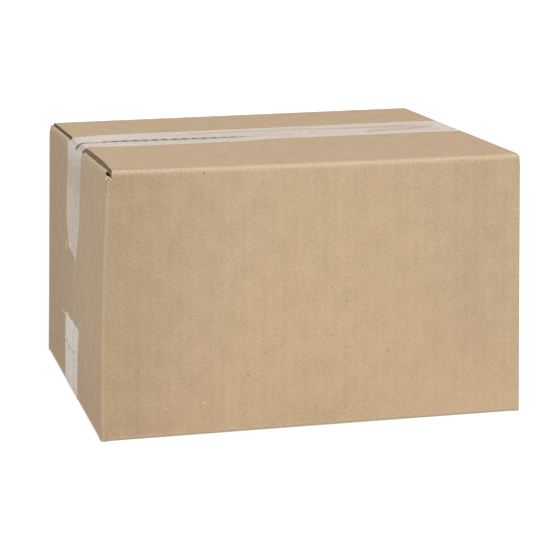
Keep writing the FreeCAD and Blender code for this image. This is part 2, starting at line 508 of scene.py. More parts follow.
for along in spaced(FOLD_LEG + GRID, TAB.length, GRID):
    add_line("tab", TAB, along, None, blank + along, POST, POST)
print(len(lines), "lines,", len(strips), "strips")

# %% Rows of the blank, which run round the carton
TOP_SLOT = 5.0 * MM
BOTTOM_SLOT = 0.5 * MM
SLIT_DEPTH = FOLD_LEG + INNER_DROP + SLIT
POST_STEP = 0.9 * MM

Row = namedtuple("Row", "part end value blank")
flap_places = spaced(FLAP_REACH, FOLD_LEG, GRID)
fold_shares = spaced(0, 1, 1 / FOLD_STEPS)
middle_heights = spaced(SLIT_DEPTH, HEIGHT - SLIT_DEPTH, GRID)
post_heights = spaced(HEIGHT - SLIT_DEPTH, HEIGHT - TOP_SLOT, POST_STEP)[1:]
wall_heights = [FOLD_LEG] + middle_heights + post_heights + [HEIGHT - FOLD_LEG]
rows = []
for value in flap_places[:-1]:
    rows.append(Row("flap", -1, value, FOLD_LEG * 2 - FOLD_PATH - value))
for share in reversed(fold_shares[1:]):
    rows.append(Row("fold", -1, share, FOLD_LEG - share * FOLD_PATH))
for value in wall_heights:
    rows.append(Row("wall", 0, value, value))
for share in fold_shares[1:]:
    rows.append(Row("fold", 1, share, HEIGHT - FOLD_LEG + share * FOLD_PATH))
for value in reversed(flap_places[:-1]):
    rows.append(Row("flap", 1, value, HEIGHT + FOLD_PATH - FOLD_LEG * 2 + value))

ROW_OF_POST_BOTTOM = len(flap_places) - 1
ROW_OF_BOTTOM_FOLD = ROW_OF_POST_BOTTOM + FOLD_STEPS
ROW_OF_BOTTOM_SLIT = ROW_OF_BOTTOM_FOLD + 1
ROW_OF_POST_TOP = ROW_OF_BOTTOM_FOLD + len(wall_heights) - 2
ROW_OF_TOP_SLIT = ROW_OF_POST_TOP - len(post_heights)
BOARD_ROWS = {
    "flap": (0, len(rows)),
    "edge": (ROW_OF_BOTTOM_FOLD, len(rows)),
    "post": (ROW_OF_POST_BOTTOM, ROW_OF_POST_TOP),
    "slit": (ROW_OF_BOTTOM_SLIT, ROW_OF_TOP_SLIT),
    "tab": (ROW_OF_BOTTOM_SLIT, ROW_OF_TOP_SLIT),
}


def is_board(strip_index, row_index):
    """Whether the cell right of a line and above a row is board; elsewhere it is a slot."""
    if not 0 <= strip_index < len(strips):
        return False
    first, last = BOARD_ROWS[strips[strip_index]]
    return first <= row_index < last and row_index < len(rows) - 1


print(len(rows), "rows")

# %% [markdown]
# Each line keeps its place in plan all the way up the wall. Above and below, it turns with the flap
# it belongs to. The end panels fold one board lower, because their flaps lie under the others. The
# last few millimetres of their walls are squeezed for that, where the slits already part them from
# the corner posts. The glue tab is cut short at both ends.

# %% Where a point of the blank lies
TAB_END_GAP = 12.0 * MM
TAB_TAPER = 10.0 * MM
POST_RISE_BACK = 2.4 * MM
POST_RISE_FRONT = 4.9 * MM
POST_BEND_BACK = 2.6 * MM
POST_BEND_FRONT = 0.4 * MM
POST_RAGGED = 0.9 * MM
POST_TORN_OFF = 0.1 * MM
POST_GRAIN = 1.3 * MM
POST_CREST_RAGGED = 0.4
POST_TURN_START = 8
BEAD_FRONT = 3.1 * MM
BEAD_BACK = 3.1 * MM
BEAD_BOTTOM = 4.1 * MM
BEAD_FALL = 1.5 * MM
BEAD_FALL_START = 1.05
BEAD_CREASE_SHARE = 0.8


def wall_height(line, height):
    """Height on the wall, after the squeeze below an end panel's folds and the tab's trim."""
    if line.top.kind == "inner":
        squeeze = SLIT / (SLIT_DEPTH - FOLD_LEG)
        if height < SLIT_DEPTH:
            return SLIT_DEPTH - (SLIT_DEPTH - height) * squeeze
        if height > HEIGHT - SLIT_DEPTH:
            return HEIGHT - SLIT_DEPTH + (height - HEIGHT + SLIT_DEPTH) * squeeze
    if line.panel.name == "tab":
        trim = TAB_END_GAP + TAB_TAPER * line.along / TAB_WIDTH
        return trim + (HEIGHT - trim * 2) * (height - SLIT_DEPTH) / (HEIGHT - SLIT_DEPTH * 2)
    return height


def post_top(line, height):
    """(extra height, bend inwards) of a corner post near its torn or rounded top."""
    share = (height - HEIGHT + SLIT_DEPTH) / (SLIT_DEPTH - TOP_SLOT)
    if line.top.kind != "post" or line.panel.name == "tab" or share <= 0:
        return 0.0, 0.0
    ragged = POST_RAGGED * noise.noise((line.blank / POST_GRAIN, 5.0, 0))
    if line.panel.name in ("left", "right") and line.along > SLIT_DEPTH:
        return share * (ragged - POST_TORN_OFF), 0.0
    at_back = line.panel.name in ("back", "left")
    rise = POST_RISE_BACK if at_back else POST_RISE_FRONT
    rise *= 1 if line.turn is None else smooth(line.turn * POST_TURN_START)
    bend = POST_BEND_BACK if at_back else POST_BEND_FRONT
    return share * (rise + ragged * POST_CREST_RAGGED), share * share * bend


def bead_profile(share, foot):
    """Shape of a ridge squeezed out of a fold: up with the wall, down before the flap's end at foot."""
    rising = min(share * fold_path(INNER_FLAP_RADIUS) / (FOLD_LEG - INNER_FLAP_RADIUS), 1.0)
    past = around_fold(share, 0, INNER_FLAP_RADIUS)[1]
    return rising * (1 - smooth((past - foot) / BEAD_FALL + BEAD_FALL_START))


def bead_height(share, x, y):
    """Extra height of the ridge where the left end panel's fold is squeezed by the flaps' ends."""
    foot = SETBACK_FRONT_LEFT if y < 0 else SETBACK_LEFT
    height = blend(BEAD_FRONT, BEAD_BACK, share_back(y)) + crease_rise(x, y) * BEAD_CREASE_SHARE
    return height * bead_profile(share, foot) * (1 - held_by_tape(x, y))


def wall_point(line, row, depth):
    """Place of a point on a wall or a corner post."""
    if row.part == "wall":
        extra, bend = post_top(line, row.value)
        height = wall_height(line, row.value) + extra
        depth += bend
    else:
        height = FOLD_LEG - row.value * (FOLD_LEG - BOTTOM_SLOT)
    if line.turn is None:
        x, y = on_plan(line.panel, line.along, depth)
    else:
        short, past = around_fold(line.turn, depth, CORNER_RADIUS)
        x, y = on_plan(line.panel, line.panel.length - short, past)
    return Vector((x, y, BASE + height))


def fold_point(line, row, depth):
    """Place of one point of the blank on the closed carton, before it is settled."""
    place = line.top if row.end > 0 else line.bottom
    if row.part == "wall" or place.kind == "post":
        return wall_point(line, row, depth)
    is_outer = place.kind == "outer"
    if row.part == "fold":
        radius = OUTER_FLAP_RADIUS if is_outer else INNER_FLAP_RADIUS
        short, past = around_fold(row.value, depth, radius)
    else:
        short, past = depth, row.value
    drop = 0 if is_outer else INNER_DROP
    crease = TOP - drop if row.end > 0 else BASE + drop
    x, y = on_plan(place.panel, place.along, past)
    z = crease - row.end * short
    if row.end > 0 and is_outer:
        turned = smooth(row.value * 2) if row.part == "fold" else 1.0
        z += crease_rise(x, y) * turned + flap_lift(x, y)
        z -= flap_end_crush(x, y) * (1 - depth / BOARD)
    if row.end > 0 and row.part == "fold" and place.panel.name == "left":
        z += bead_height(row.value, x, y)
    if row.end < 0 and row.part == "fold" and not is_outer:
        z -= BEAD_BOTTOM * bead_profile(row.value, BOTTOM_SETBACK)
    return Vector((x, y, z))


def board_point(line_index, row_index, depth):
    """Settled place of a grid point of the blank."""
    return settle(fold_point(lines[line_index], rows[row_index], depth))


print("middle of the front panel", board_point(len(lines) // 2, len(rows) // 2, 0))

# %% [markdown]
# ## Cut edges
#
# The cut edge of corrugated board is two thin papers with dark air and a wavy paper between them.
# So every edge of the blank gets two lips and a groove. Across the flutes, at the flaps' free
# edges, the groove is deep, because a wavy paper is put into it later. Along the flutes it only
# goes in to the next ridge of the medium.

# %% Build the sheet
LINER = 0.35 * MM
SIDE_GROOVE = 1.2 * MM
SLOT_GROOVE = 4.5 * MM
END_GROOVE = 8.0 * MM
LEVEL_DEPTHS = (0, LINER, LINER, BOARD - LINER, BOARD - LINER, BOARD)
DEEP_LEVELS = (2, 3)
# Lighter line along the creases, partly wear and partly a painted highlight.
WEAR_AND_HIGHLIGHT_WIDTH = 0.17
WEAR_AND_HIGHLIGHT_MIDDLE = 0.43
INNER_WEAR_AND_HIGHLIGHT = 0.5
CORNER_WEAR_AND_HIGHLIGHT = 0.18
# Darkening of the paper. On the front panel it is painted shade: darkest near the left edge, softer
# high near the right end and low in the middle. The flaps and the left end get a tone that darkens
# towards the back. The hidden panels get an even tone.
PAINTED_SHADE_REACH = 75 * MM
PAINTED_SHADE_LEFT = 0.9
PAINTED_SHADE_RIGHT = 0.30
PAINTED_SHADE_LOW = 0.28
PAINTED_SHADE_RIGHT_PLACE = 120 * MM
PAINTED_SHADE_RIGHT_REACH = 28 * MM
LOW_FADE_HEIGHT = 70 * MM
FLAP_TONE = (0.35, 0.60)
HIDDEN_TONE = 0.4
END_TONE_FRONT = 0.30
END_TONE_BACK = 0.70
END_TONE_LOW = 0.35
# How dark each level of a cut edge is painted, from the outer face to the inner. This is partly the
# edge's own colour and partly painted shade, and it is strongest in the groove. On the top flaps of the
# end panels the values are doubled, and the material paints that as black shade.
CUT_AND_SHADE_LEVELS = (0.0, 0.7, 1.0, 1.0, 0.7, 0.0)
PAINTED_SHADE_IN_SLOT = 2.0

points = []
blank_places = []
wear_and_highlight_values = []
painted_shade_and_tone_values = []
cut_and_shade_values = []
point_index = {}


def wear_and_highlight_at(line, row):
    """How much lighter the outer paper is, partly from wear and partly as a painted highlight: 1 in the
    middle of a crease, less on the vertical folds.
    """
    wear_and_highlight = 0.0
    place = line.top if row.end > 0 else line.bottom
    if row.part == "fold" and place.kind != "post":
        wear_and_highlight = math.exp(-((row.value - WEAR_AND_HIGHLIGHT_MIDDLE) / WEAR_AND_HIGHLIGHT_WIDTH) ** 2)
        wear_and_highlight *= 1 if place.kind == "outer" else INNER_WEAR_AND_HIGHLIGHT
    if line.turn is not None:
        wear_and_highlight = max(wear_and_highlight, CORNER_WEAR_AND_HIGHLIGHT * math.exp(-((line.turn - 0.5) / WEAR_AND_HIGHLIGHT_WIDTH) ** 2))
    return wear_and_highlight


def painted_shade_and_tone_at(line, row, place):
    """How much the paper is darkened: painted shade on the front panel, most near its left edge, and a
    tone elsewhere that is darker towards the back.
    """
    to_back = (place.y + HALF_WIDTH) / WIDTH
    if row.part == "flap":
        return blend(*FLAP_TONE, to_back)
    low = 1 - smooth((place.z - BASE) / LOW_FADE_HEIGHT)
    if line.panel.name == "left":
        painted_shade_and_tone = END_TONE_FRONT + END_TONE_BACK * smooth(to_back * 1.4 - 0.25)
        return blend(painted_shade_and_tone + END_TONE_LOW * low * (1 - to_back), PAINTED_SHADE_LEFT, smooth(line.turn or 0))
    if line.panel.name != "front":
        return HIDDEN_TONE
    # On the front panel the darkening is painted shade: near the left edge, high near the right end and
    # low in the middle.
    to_left = (place.x + HALF_LENGTH) / PAINTED_SHADE_REACH
    from_right_shade = (place.x - PAINTED_SHADE_RIGHT_PLACE) / PAINTED_SHADE_RIGHT_REACH
    right_shade = PAINTED_SHADE_RIGHT * math.exp(-from_right_shade * from_right_shade) * (1 - low)
    low_middle_shade = PAINTED_SHADE_LOW * low * math.exp(-(place.x / PAINTED_SHADE_REACH) ** 2)
    return PAINTED_SHADE_LEFT * math.exp(-to_left * to_left) + right_shade + low_middle_shade


def inward_shift(line_index, row_index, depth, inward):
    """Vector from an edge point to the bottom of its groove."""
    here = board_point(line_index, row_index, depth)
    shift = Vector()
    if inward[0]:
        beside = board_point(line_index + inward[0], row_index, depth)
        beside_slot = lines[line_index].top.kind == "inner" and rows[row_index].part != "wall"
        shift += (beside - here).normalized() * (SLOT_GROOVE if beside_slot else SIDE_GROOVE)
    if inward[1]:
        beyond = board_point(line_index, row_index + inward[1], depth)
        at_free_edge = row_index in (0, len(rows) - 1)
        shift += (beyond - here).normalized() * (END_GROOVE if at_free_edge else SIDE_GROOVE)
    return shift


def sheet_vertex(line_index, row_index, level, inward=(0, 0)):
    """Index of one point of the sheet; levels 1 to 4 are the lips and groove of a cut edge."""
    key = (line_index, row_index, level)
    if key not in point_index:
        depth = LEVEL_DEPTHS[level]
        place = board_point(line_index, row_index, depth)
        if level in DEEP_LEVELS:
            place = place + inward_shift(line_index, row_index, depth, inward)
        point_index[key] = len(points)
        points.append(place)
        line, row = lines[line_index], rows[row_index]
        blank_places.append((line.blank, row.blank))
        wear_and_highlight_values.append(wear_and_highlight_at(line, row) if level == 0 else 0.0)
        painted_shade_and_tone_values.append(painted_shade_and_tone_at(line, row, place))
        # On the top flaps of the end panels the cut edges are painted black, as shade.
        in_slot = line.top.kind == "inner" and row.part != "wall" and row.end > 0
        cut_and_shade_values.append(CUT_AND_SHADE_LEVELS[level] * (PAINTED_SHADE_IN_SLOT if in_slot else 1.0))
    return point_index[key]


def cell_edges(cell_line, cell_row):
    """The four edges of a cell in outer order, each with the cell across it and the way inwards."""
    left, right = cell_line, cell_line + 1
    low, high = cell_row, cell_row + 1
    return [
        ((left, low), (right, low), (left, low - 1), (0, 1)),
        ((right, low), (right, high), (right, low), (-1, 0)),
        ((right, high), (left, high), (left, high), (0, -1)),
        ((left, high), (left, low), (left - 1, low), (1, 0)),
    ]


faces = []
cut_edges = []
inward_at = {}
for cell_line in range(len(strips)):
    for cell_row in range(len(rows) - 1):
        if not is_board(cell_line, cell_row):
            continue
        corners = [(cell_line, cell_row), (cell_line + 1, cell_row),
                   (cell_line + 1, cell_row + 1), (cell_line, cell_row + 1)]
        faces.append([sheet_vertex(*corner, 0) for corner in corners])
        faces.append([sheet_vertex(*corner, 5) for corner in reversed(corners)])
        for start, stop, beyond, inward in cell_edges(cell_line, cell_row):
            if not is_board(*beyond):
                cut_edges.append((start, stop))
                for corner in (start, stop):
                    kept = inward_at.get(corner, (0, 0))
                    inward_at[corner] = (inward[0] or kept[0], inward[1] or kept[1])
for start, stop in cut_edges:
    for level in range(5):
        faces.append([
            sheet_vertex(*stop, level, inward_at[stop]),
            sheet_vertex(*start, level, inward_at[start]),
            sheet_vertex(*start, level + 1, inward_at[start]),
            sheet_vertex(*stop, level + 1, inward_at[stop]),
        ])
print(len(points), "points,", len(faces), "faces,", len(cut_edges), "cut edges")


# %% [markdown]
# ## Kraft paper
#
# Kraft liner is a brown paper of long, unbleached fibres. From a few metres it shows a fine mottle,
# a few dark and light specks, and faint upright bands where the liner sinks between the flutes; the
# bands are painted shade, beside a bump. The paper is lighter along the creases, partly from wear and
# partly as a painted highlight. Its cut edges are darker, partly their own colour and partly painted
# shade, and on the top flaps of the end panels they are painted black as shade. The front panel
# carries painted shade, darkest near its left edge. All of this follows the paper, so the material
# reads the flat blank as its UV map, in metres, and it turns over the creases with the sheet.

# %% Helpers for finishes
def between(tree, value, low, high, to_low=0.0, to_high=1.0):
    """Value mapped from one range to another, smoothly and within the range."""
    inputs = {"Value": value, "From Min": low, "From Max": high, "To Min": to_low, "To Max": to_high}
    return add_node(tree, "ShaderNodeMapRange", inputs, interpolation_type="SMOOTHSTEP").outputs[0]


def blend_colours(tree, share, first, second, blend_type="MIX"):
    """Mix of two colours, or their product with blend_type MULTIPLY."""
    node = tree.nodes.new("ShaderNodeMix")
    node.data_type = "RGBA"
    node.blend_type = blend_type
    put(node.inputs["Factor"], share)
    put(node.inputs["A"], first)
    put(node.inputs["B"], second)
    return node.outputs["Result"]


def in_units(tree, place, size, shift):
    """Flat place in units of this size in metres along each axis, moved by a shift of its own."""
    scale = (1 / size[0], 1 / size[1], 1)
    inputs = {"Vector": place, "Location": (shift, shift, 0), "Scale": scale}
    return add_node(tree, "ShaderNodeMapping", inputs).outputs[0]


def paper_noise(tree, place, size, detail=2.0, shift=0.0):
    """Noise in a flat pattern, with features of about this size in metres along each axis."""
    node = tree.nodes.new("ShaderNodeTexNoise")
    node.noise_dimensions = "2D"
    put(node.inputs["Vector"], in_units(tree, place, size, shift))
    put(node.inputs["Scale"], 1.0)
    put(node.inputs["Detail"], detail)
    return node.outputs["Fac"]


def named_value(tree, name):
    """Value that the mesh carries at each point under this name."""
    return add_node(tree, "ShaderNodeAttribute", attribute_name=name).outputs["Fac"]


def flat_place(tree, uv_name):
    """Place on the piece's own flat pattern, in metres."""
    return add_node(tree, "ShaderNodeUVMap", uv_map=uv_name).outputs[0]


def object_place(tree):
    """Place on the object, in metres."""
    return add_node(tree, "ShaderNodeTexCoord").outputs["Object"]


def bumped(tree, height, strength, distance):
    """Normal of a surface with these small heights."""
    inputs = {"Height": height, "Strength": strength, "Distance": distance}
    return add_node(tree, "ShaderNodeBump", inputs).outputs[0]


def finish_material(tree, inputs):
    """Ends a material with one surface shader that has these inputs."""
    shader = add_node(tree, "ShaderNodeBsdfPrincipled", inputs)
    add_node(tree, "ShaderNodeOutputMaterial", {"Surface": shader.outputs[0]})


print("helpers for finishes are ready")

# %% Kraft material
FLUTE_PITCH = 7.8 * MM
KRAFT_DARK = (0.455, 0.325, 0.195, 1)
KRAFT_LIGHT = (0.685, 0.512, 0.333, 1)
KRAFT_WORN_AND_LIT = (0.660, 0.520, 0.360, 1)
KRAFT_CUT_AND_SHADE = (0.400, 0.300, 0.180, 1)
SLOT_PAINTED_SHADE = (0.030, 0.022, 0.014, 1)
SPECK_DARK = (0.20, 0.12, 0.07, 1)
SPECK_LIGHT = (0.75, 0.64, 0.48, 1)
KRAFT_TONED_AND_SHADED = (0.80, 0.785, 0.78, 1)
CLOUD_TONE = 0.45
MOTTLE_TONE = 0.75
FIBRE_TONE = 0.40
ACROSS_TONE = 0.30
FLUTE_BAND_SHADE = 0.06
KRAFT_BUMP = 0.10 * MM
FRONT_STRAIGHT = [line for line in lines if line.panel is FRONT and line.turn is None]
FRONT_BLANK = FRONT_STRAIGHT[0].blank - FRONT_STRAIGHT[0].along
FRONT_SPECKS = (
    (75.0 * MM, 192.0 * MM, 0.9 * MM, 0.8, SPECK_DARK),
    (108.2 * MM, 41.8 * MM, 1.0 * MM, 0.7, SPECK_DARK),
    (121.7 * MM, 58.1 * MM, 0.9 * MM, 0.6, SPECK_DARK),
    (215.1 * MM, 53.6 * MM, 0.9 * MM, 0.7, SPECK_DARK),
    (75.4 * MM, 23.9 * MM, 1.0 * MM, 0.8, SPECK_LIGHT),
    (47.4 * MM, 21.7 * MM, 0.9 * MM, 0.7, SPECK_LIGHT),
)


def speck_mask(tree, place, spacing, size, keep, shift):
    """Small round specks, in a few of the cells of a grid of random points."""
    cells = add_node(tree, "ShaderNodeTexVoronoi", {"Scale": 1.0}, voronoi_dimensions="2D")
    put(cells.inputs["Vector"], in_units(tree, place, (spacing, spacing), shift))
    chosen = add_node(tree, "ShaderNodeSeparateColor", {0: cells.outputs["Color"]}).outputs[0]
    near = between(tree, cells.outputs["Distance"], size * 0.5, size, 1.0, 0.0)
    return calculate(tree, "MULTIPLY", near, calculate(tree, "LESS_THAN", chosen, keep))


def speck_at(tree, place, centre, radius):
    """One speck at a chosen place of the blank."""
    inputs = {0: place, 1: (centre[0], centre[1], 0)}
    away = add_node(tree, "ShaderNodeVectorMath", inputs, operation="DISTANCE").outputs["Value"]
    return between(tree, away, radius * 0.4, radius, 1.0, 0.0)


def plain_paper(name, dark, light):
    """Mottled paper for small pieces, by its place on the object."""
    material = new_material(name)
    tree = material.node_tree
    inputs = {"Vector": object_place(tree), "Scale": 1 / (1.5 * MM)}
    grain = add_node(tree, "ShaderNodeTexNoise", inputs).outputs["Fac"]
    colour = blend_colours(tree, between(tree, grain, 0.35, 0.65), dark, light)
    finish_material(tree, {"Base Color": colour, "Roughness": 0.8, "Specular IOR Level": 0.2})
    return material


def kraft_material():
    """Brown kraft liner with mottle, specks, lighter creases (wear and a painted highlight), dark cut
    edges (own colour and painted shade), and painted shade in bands and on the front.
    """
    material = new_material("kraft_board")
    tree = material.node_tree
    place = flat_place(tree, "blank")
    cloud = paper_noise(tree, place, (14 * MM, 18 * MM), 3.0)
    mottle = paper_noise(tree, place, (1.6 * MM, 2.2 * MM), 2.0, 5.0)
    fibre = paper_noise(tree, place, (0.5 * MM, 2.6 * MM), 1.0, 9.0)
    across = paper_noise(tree, place, (3.2 * MM, 0.5 * MM), 1.0, 13.0)
    waves = add_node(tree, "ShaderNodeTexWave", wave_type="BANDS", bands_direction="X")
    put(waves.inputs["Vector"], place)
    put(waves.inputs["Scale"], math.tau / (20 * FLUTE_PITCH))
    bands = waves.outputs["Fac"]
    tone = calculate(tree, "MULTIPLY_ADD", cloud, CLOUD_TONE, 0.5 - CLOUD_TONE / 2)
    # The bands are painted shade of the liner sinking between the flutes, beside their bump.
    tones = ((mottle, MOTTLE_TONE), (fibre, FIBRE_TONE), (across, ACROSS_TONE), (bands, FLUTE_BAND_SHADE))
    for pattern, strength in tones:
        centred = calculate(tree, "SUBTRACT", pattern, 0.5)
        tone = calculate(tree, "MULTIPLY_ADD", centred, strength, tone)
    colour = blend_colours(tree, tone, KRAFT_DARK, KRAFT_LIGHT)
    # Painted shade on the front panel and a darker tone on the other panels and the flaps, multiplied
    # in from the point values.
    colour = blend_colours(tree, named_value(tree, "painted_shade_and_tone"), colour, KRAFT_TONED_AND_SHADED, "MULTIPLY")
    dark_specks = speck_mask(tree, place, 12 * MM, 0.045, 0.10, 2.0)
    light_specks = speck_mask(tree, place, 10 * MM, 0.055, 0.08, 31.0)
    colour = blend_colours(tree, calculate(tree, "MULTIPLY", dark_specks, 0.7), colour, SPECK_DARK)
    colour = blend_colours(tree, calculate(tree, "MULTIPLY", light_specks, 0.6), colour, SPECK_LIGHT)
    for along, height, radius, strength, spot_colour in FRONT_SPECKS:
        spot = speck_at(tree, place, (FRONT_BLANK + along, height), radius)
        colour = blend_colours(tree, calculate(tree, "MULTIPLY", spot, strength), colour, spot_colour)
    # Lighter creases, patchy with the mottle: partly wear and partly a painted highlight along the
    # folds.
    patchy = between(tree, mottle, 0.30, 0.62, 0.45, 1.0)
    worn_and_lit = calculate(tree, "MULTIPLY", named_value(tree, "wear_and_highlight"), patchy)
    colour = blend_colours(tree, worn_and_lit, colour, KRAFT_WORN_AND_LIT)
    # Cut edges are partly their own darker colour and partly painted shade. Past 1 they turn to painted
    # black shade.
    cut = named_value(tree, "cut")
    colour = blend_colours(tree, between(tree, cut, 0.15, 0.95), colour, KRAFT_CUT_AND_SHADE)
    colour = blend_colours(tree, between(tree, cut, 1.1, 1.5), colour, SLOT_PAINTED_SHADE)
    mottle_height = calculate(tree, "MULTIPLY", mottle, 0.35)
    height = calculate(tree, "MULTIPLY_ADD", bands, 0.5, mottle_height)
    height = calculate(tree, "MULTIPLY_ADD", fibre, 0.15, height)
    finish_material(tree, {
        "Base Color": colour,
        "Roughness": between(tree, mottle, 0.3, 0.7, 0.72, 0.86),
        "Specular IOR Level": 0.25,
        "Normal": bumped(tree, height, 0.5, KRAFT_BUMP),
    })
    return material


def add_flat_map(mesh, name, places):
    """UV map that gives each corner of each face the flat place of its point."""
    layer = mesh.uv_layers.new(name=name)
    for loop in mesh.loops:
        layer.data[loop.index].uv = places[loop.vertex_index]


def add_point_values(mesh, name, values):
    """Value at each point, for the material to read."""
    attribute = mesh.attributes.new(name, "FLOAT", "POINT")
    attribute.data.foreach_set("value", values)


KRAFT = kraft_material()
carton = mesh_object("folded_carton", points, faces, KRAFT)
add_flat_map(carton.data, "blank", blank_places)
add_point_values(carton.data, "wear_and_highlight", wear_and_highlight_values)
add_point_values(carton.data, "painted_shade_and_tone", painted_shade_and_tone_values)
add_point_values(carton.data, "cut", cut_and_shade_values)
print("folded_carton has", len(carton.data.polygons), "faces")

# %% [markdown]
# ## The wavy paper in the cut edges
#
# The free edges of the outer flaps are cut across the flutes, so the wavy medium shows there: a row
# of dark hollows, one each pitch, which is what makes the seam look like cardboard. Geometry Nodes
# follow the edge. They set points at even steps, lift them by a sine of the distance and sweep a
# flat strip of paper along, deep into the groove.

# %% Geometry Nodes: a wave that follows an edge
FLUTE_STEPS = 12
MEDIUM_DEPTH = 7.4 * MM
MEDIUM_THICKNESS = 0.25 * MM
MEDIUM_HEIGHT = BOARD - LINER * 2 - MEDIUM_THICKNESS - 0.1 * MM
EDGE_INSET = 0.35 * MM


def new_group(name, first_input, value_names, seeded=False):
    """Geometry node group with one geometry, some values, a material and perhaps a seed as inputs."""
    group = bpy.data.node_groups.new(name, "GeometryNodeTree")
    group.interface.new_socket(first_input, in_out="INPUT", socket_type="NodeSocketGeometry")
    for value_name in value_names:
        group.interface.new_socket(value_name, in_out="INPUT", socket_type="NodeSocketFloat")
    group.interface.new_socket("Paper", in_out="INPUT", socket_type="NodeSocketMaterial")
    if seeded:
        group.interface.new_socket("Seed", in_out="INPUT", socket_type="NodeSocketInt")
    group.interface.new_socket("Geometry", in_out="OUTPUT", socket_type="NodeSocketGeometry")
    return group, group.nodes.new("NodeGroupInput").outputs, group.nodes.new("NodeGroupOutput")


def finish_group(group, geometry, paper, out):
    """Ends a group: instances made real, and the paper as its material."""
    single = add_node(group, "GeometryNodeRealizeInstances", {"Geometry": geometry})
    inputs = {"Geometry": single.outputs["Geometry"], "Material": paper}
    papered = add_node(group, "GeometryNodeSetMaterial", inputs)
    put(out.inputs["Geometry"], papered.outputs["Geometry"])


def swept(group, curve, profile):
    """Closed mesh of a profile swept along a curve."""
    inputs = {"Curve": curve, "Profile Curve": profile, "Fill Caps": True}
    return add_node(group, "GeometryNodeCurveToMesh", inputs).outputs["Mesh"]


def fluting_group():
    """Node group that turns an edge into a wavy ribbon of paper."""
    values = ("Pitch", "Height", "Thickness", "Depth")
    group, given, out = new_group("fluting", "Edge", values)
    edge = add_node(group, "GeometryNodeMeshToCurve", {"Mesh": given["Edge"]}).outputs["Curve"]
    even = add_node(group, "GeometryNodeResampleCurve", mode="LENGTH")
    put(even.inputs["Curve"], edge)
    put(even.inputs["Length"], calculate(group, "DIVIDE", given["Pitch"], FLUTE_STEPS))
    distance = add_node(group, "GeometryNodeSplineParameter").outputs["Length"]
    pitches = calculate(group, "DIVIDE", distance, given["Pitch"])
    wave = calculate(group, "SINE", calculate(group, "MULTIPLY", pitches, math.tau))
    half_height = calculate(group, "MULTIPLY", given["Height"], 0.5)
    rise = calculate(group, "MULTIPLY", wave, half_height)
    offset = add_node(group, "ShaderNodeCombineXYZ", {"Z": rise}).outputs[0]
    inputs = {"Geometry": even.outputs["Curve"], "Offset": offset}
    waved = add_node(group, "GeometryNodeSetPosition", inputs).outputs["Geometry"]
    upright = add_node(group, "GeometryNodeSetCurveNormal", {"Curve": waved}, mode="Z_UP")
    inputs = {"Width": given["Depth"], "Height": given["Thickness"]}
    section = add_node(group, "GeometryNodeCurvePrimitiveQuadrilateral", inputs)
    ribbon = swept(group, upright.outputs["Curve"], section.outputs["Curve"])
    finish_group(group, ribbon, given["Paper"], out)
    return group


def run_group(name, source, group, values):
    """Plain mesh object made by a node group from a source mesh; the source is removed."""
    modifier = source.modifiers.new("nodes", "NODES")
    modifier.node_group = group
    for item in group.interface.items_tree:
        if item.item_type == "SOCKET" and item.in_out == "INPUT" and item.name in values:
            modifier[item.identifier] = values[item.name]
    evaluated = source.evaluated_get(bpy.context.evaluated_depsgraph_get())
    mesh = bpy.data.meshes.new_from_object(evaluated)
    mesh.name = name
    bpy.data.objects.remove(source)
    return add_object(name, mesh)


def free_edge_points(panel, row_index):
    """Points along a flap's free edge, in the middle of the groove."""
    edge = []
    for line_index, line in enumerate(lines):
        place = line.top if row_index else line.bottom
        if place.kind != "outer" or place.panel is not panel:
            continue
        inward = -1 if row_index else 1
        here = board_point(line_index, row_index, BOARD / 2)
        beyond = board_point(line_index, row_index + inward, BOARD / 2)
        edge.append(here + (beyond - here).normalized() * (EDGE_INSET + MEDIUM_DEPTH / 2))
    return sorted(edge, key=lambda point: point.x)


def edge_mesh(name, chains):
    """Mesh of edges only, one chain for each list of points."""
    points = []
    edges = []
    for chain in chains:
        first = len(points)
        points += chain
        edges += [(index, index + 1) for index in range(first, len(points) - 1)]
    mesh = bpy.data.meshes.new(name)
    mesh.from_pydata(points, edges, [])
    return add_object(name, mesh)


flap_edges = []
for panel in (FRONT, BACK):
    for row_index in (0, len(rows) - 1):
        flap_edges.append(free_edge_points(panel, row_index))
MEDIUM_PAPER = plain_paper("medium_paper", (0.33, 0.25, 0.16, 1), (0.46, 0.35, 0.23, 1))
medium = run_group("medium", edge_mesh("flap_edges", flap_edges), fluting_group(), {
    "Pitch": FLUTE_PITCH, "Height": MEDIUM_HEIGHT, "Thickness": MEDIUM_THICKNESS,
    "Depth": MEDIUM_DEPTH, "Paper": MEDIUM_PAPER})
print("medium has", len(medium.data.polygons), "faces, on", len(flap_edges), "edges")

# %% [markdown]
# ## Frayed corners
#
# Where the slots end, the tops of the four corner posts are torn rather than cut clean. Short paper
# fibres are scattered over those torn ends, each one a thin bent hair, with its own turn and size.

# %% Geometry Nodes: fibres on the torn ends
FIBRE_LENGTH = 1.5 * MM
FIBRE_RADIUS = 0.05 * MM
FIBRE_DENSITY = 550000
FIBRE_SEED = 11
FIBRE_STEPS = 4
FIBRE_SIDES = 5
FIBRE_BEND = {"Start": (0, 0, -0.3), "Middle": (0, 0, 0.4), "End": (0.35, 0, 0.7)}
FIBRE_TILT = 0.9
FIBRE_SIZES = (0.4, 1.2)


def random_value(group, data_type, low, high, seed, shift):
    """Random value or vector between two limits, from the group's seed and a shift of its own."""
    node = group.nodes.new("FunctionNodeRandomValue")
    node.data_type = data_type
    wanted = "VECTOR" if data_type == "FLOAT_VECTOR" else "VALUE"
    for socket in node.inputs:
        if socket.type == wanted and socket.name in ("Min", "Max"):
            socket.default_value = low if socket.name == "Min" else high
    put(node.inputs["Seed"], calculate(group, "ADD", seed, shift))
    return next(socket for socket in node.outputs if socket.type == wanted)


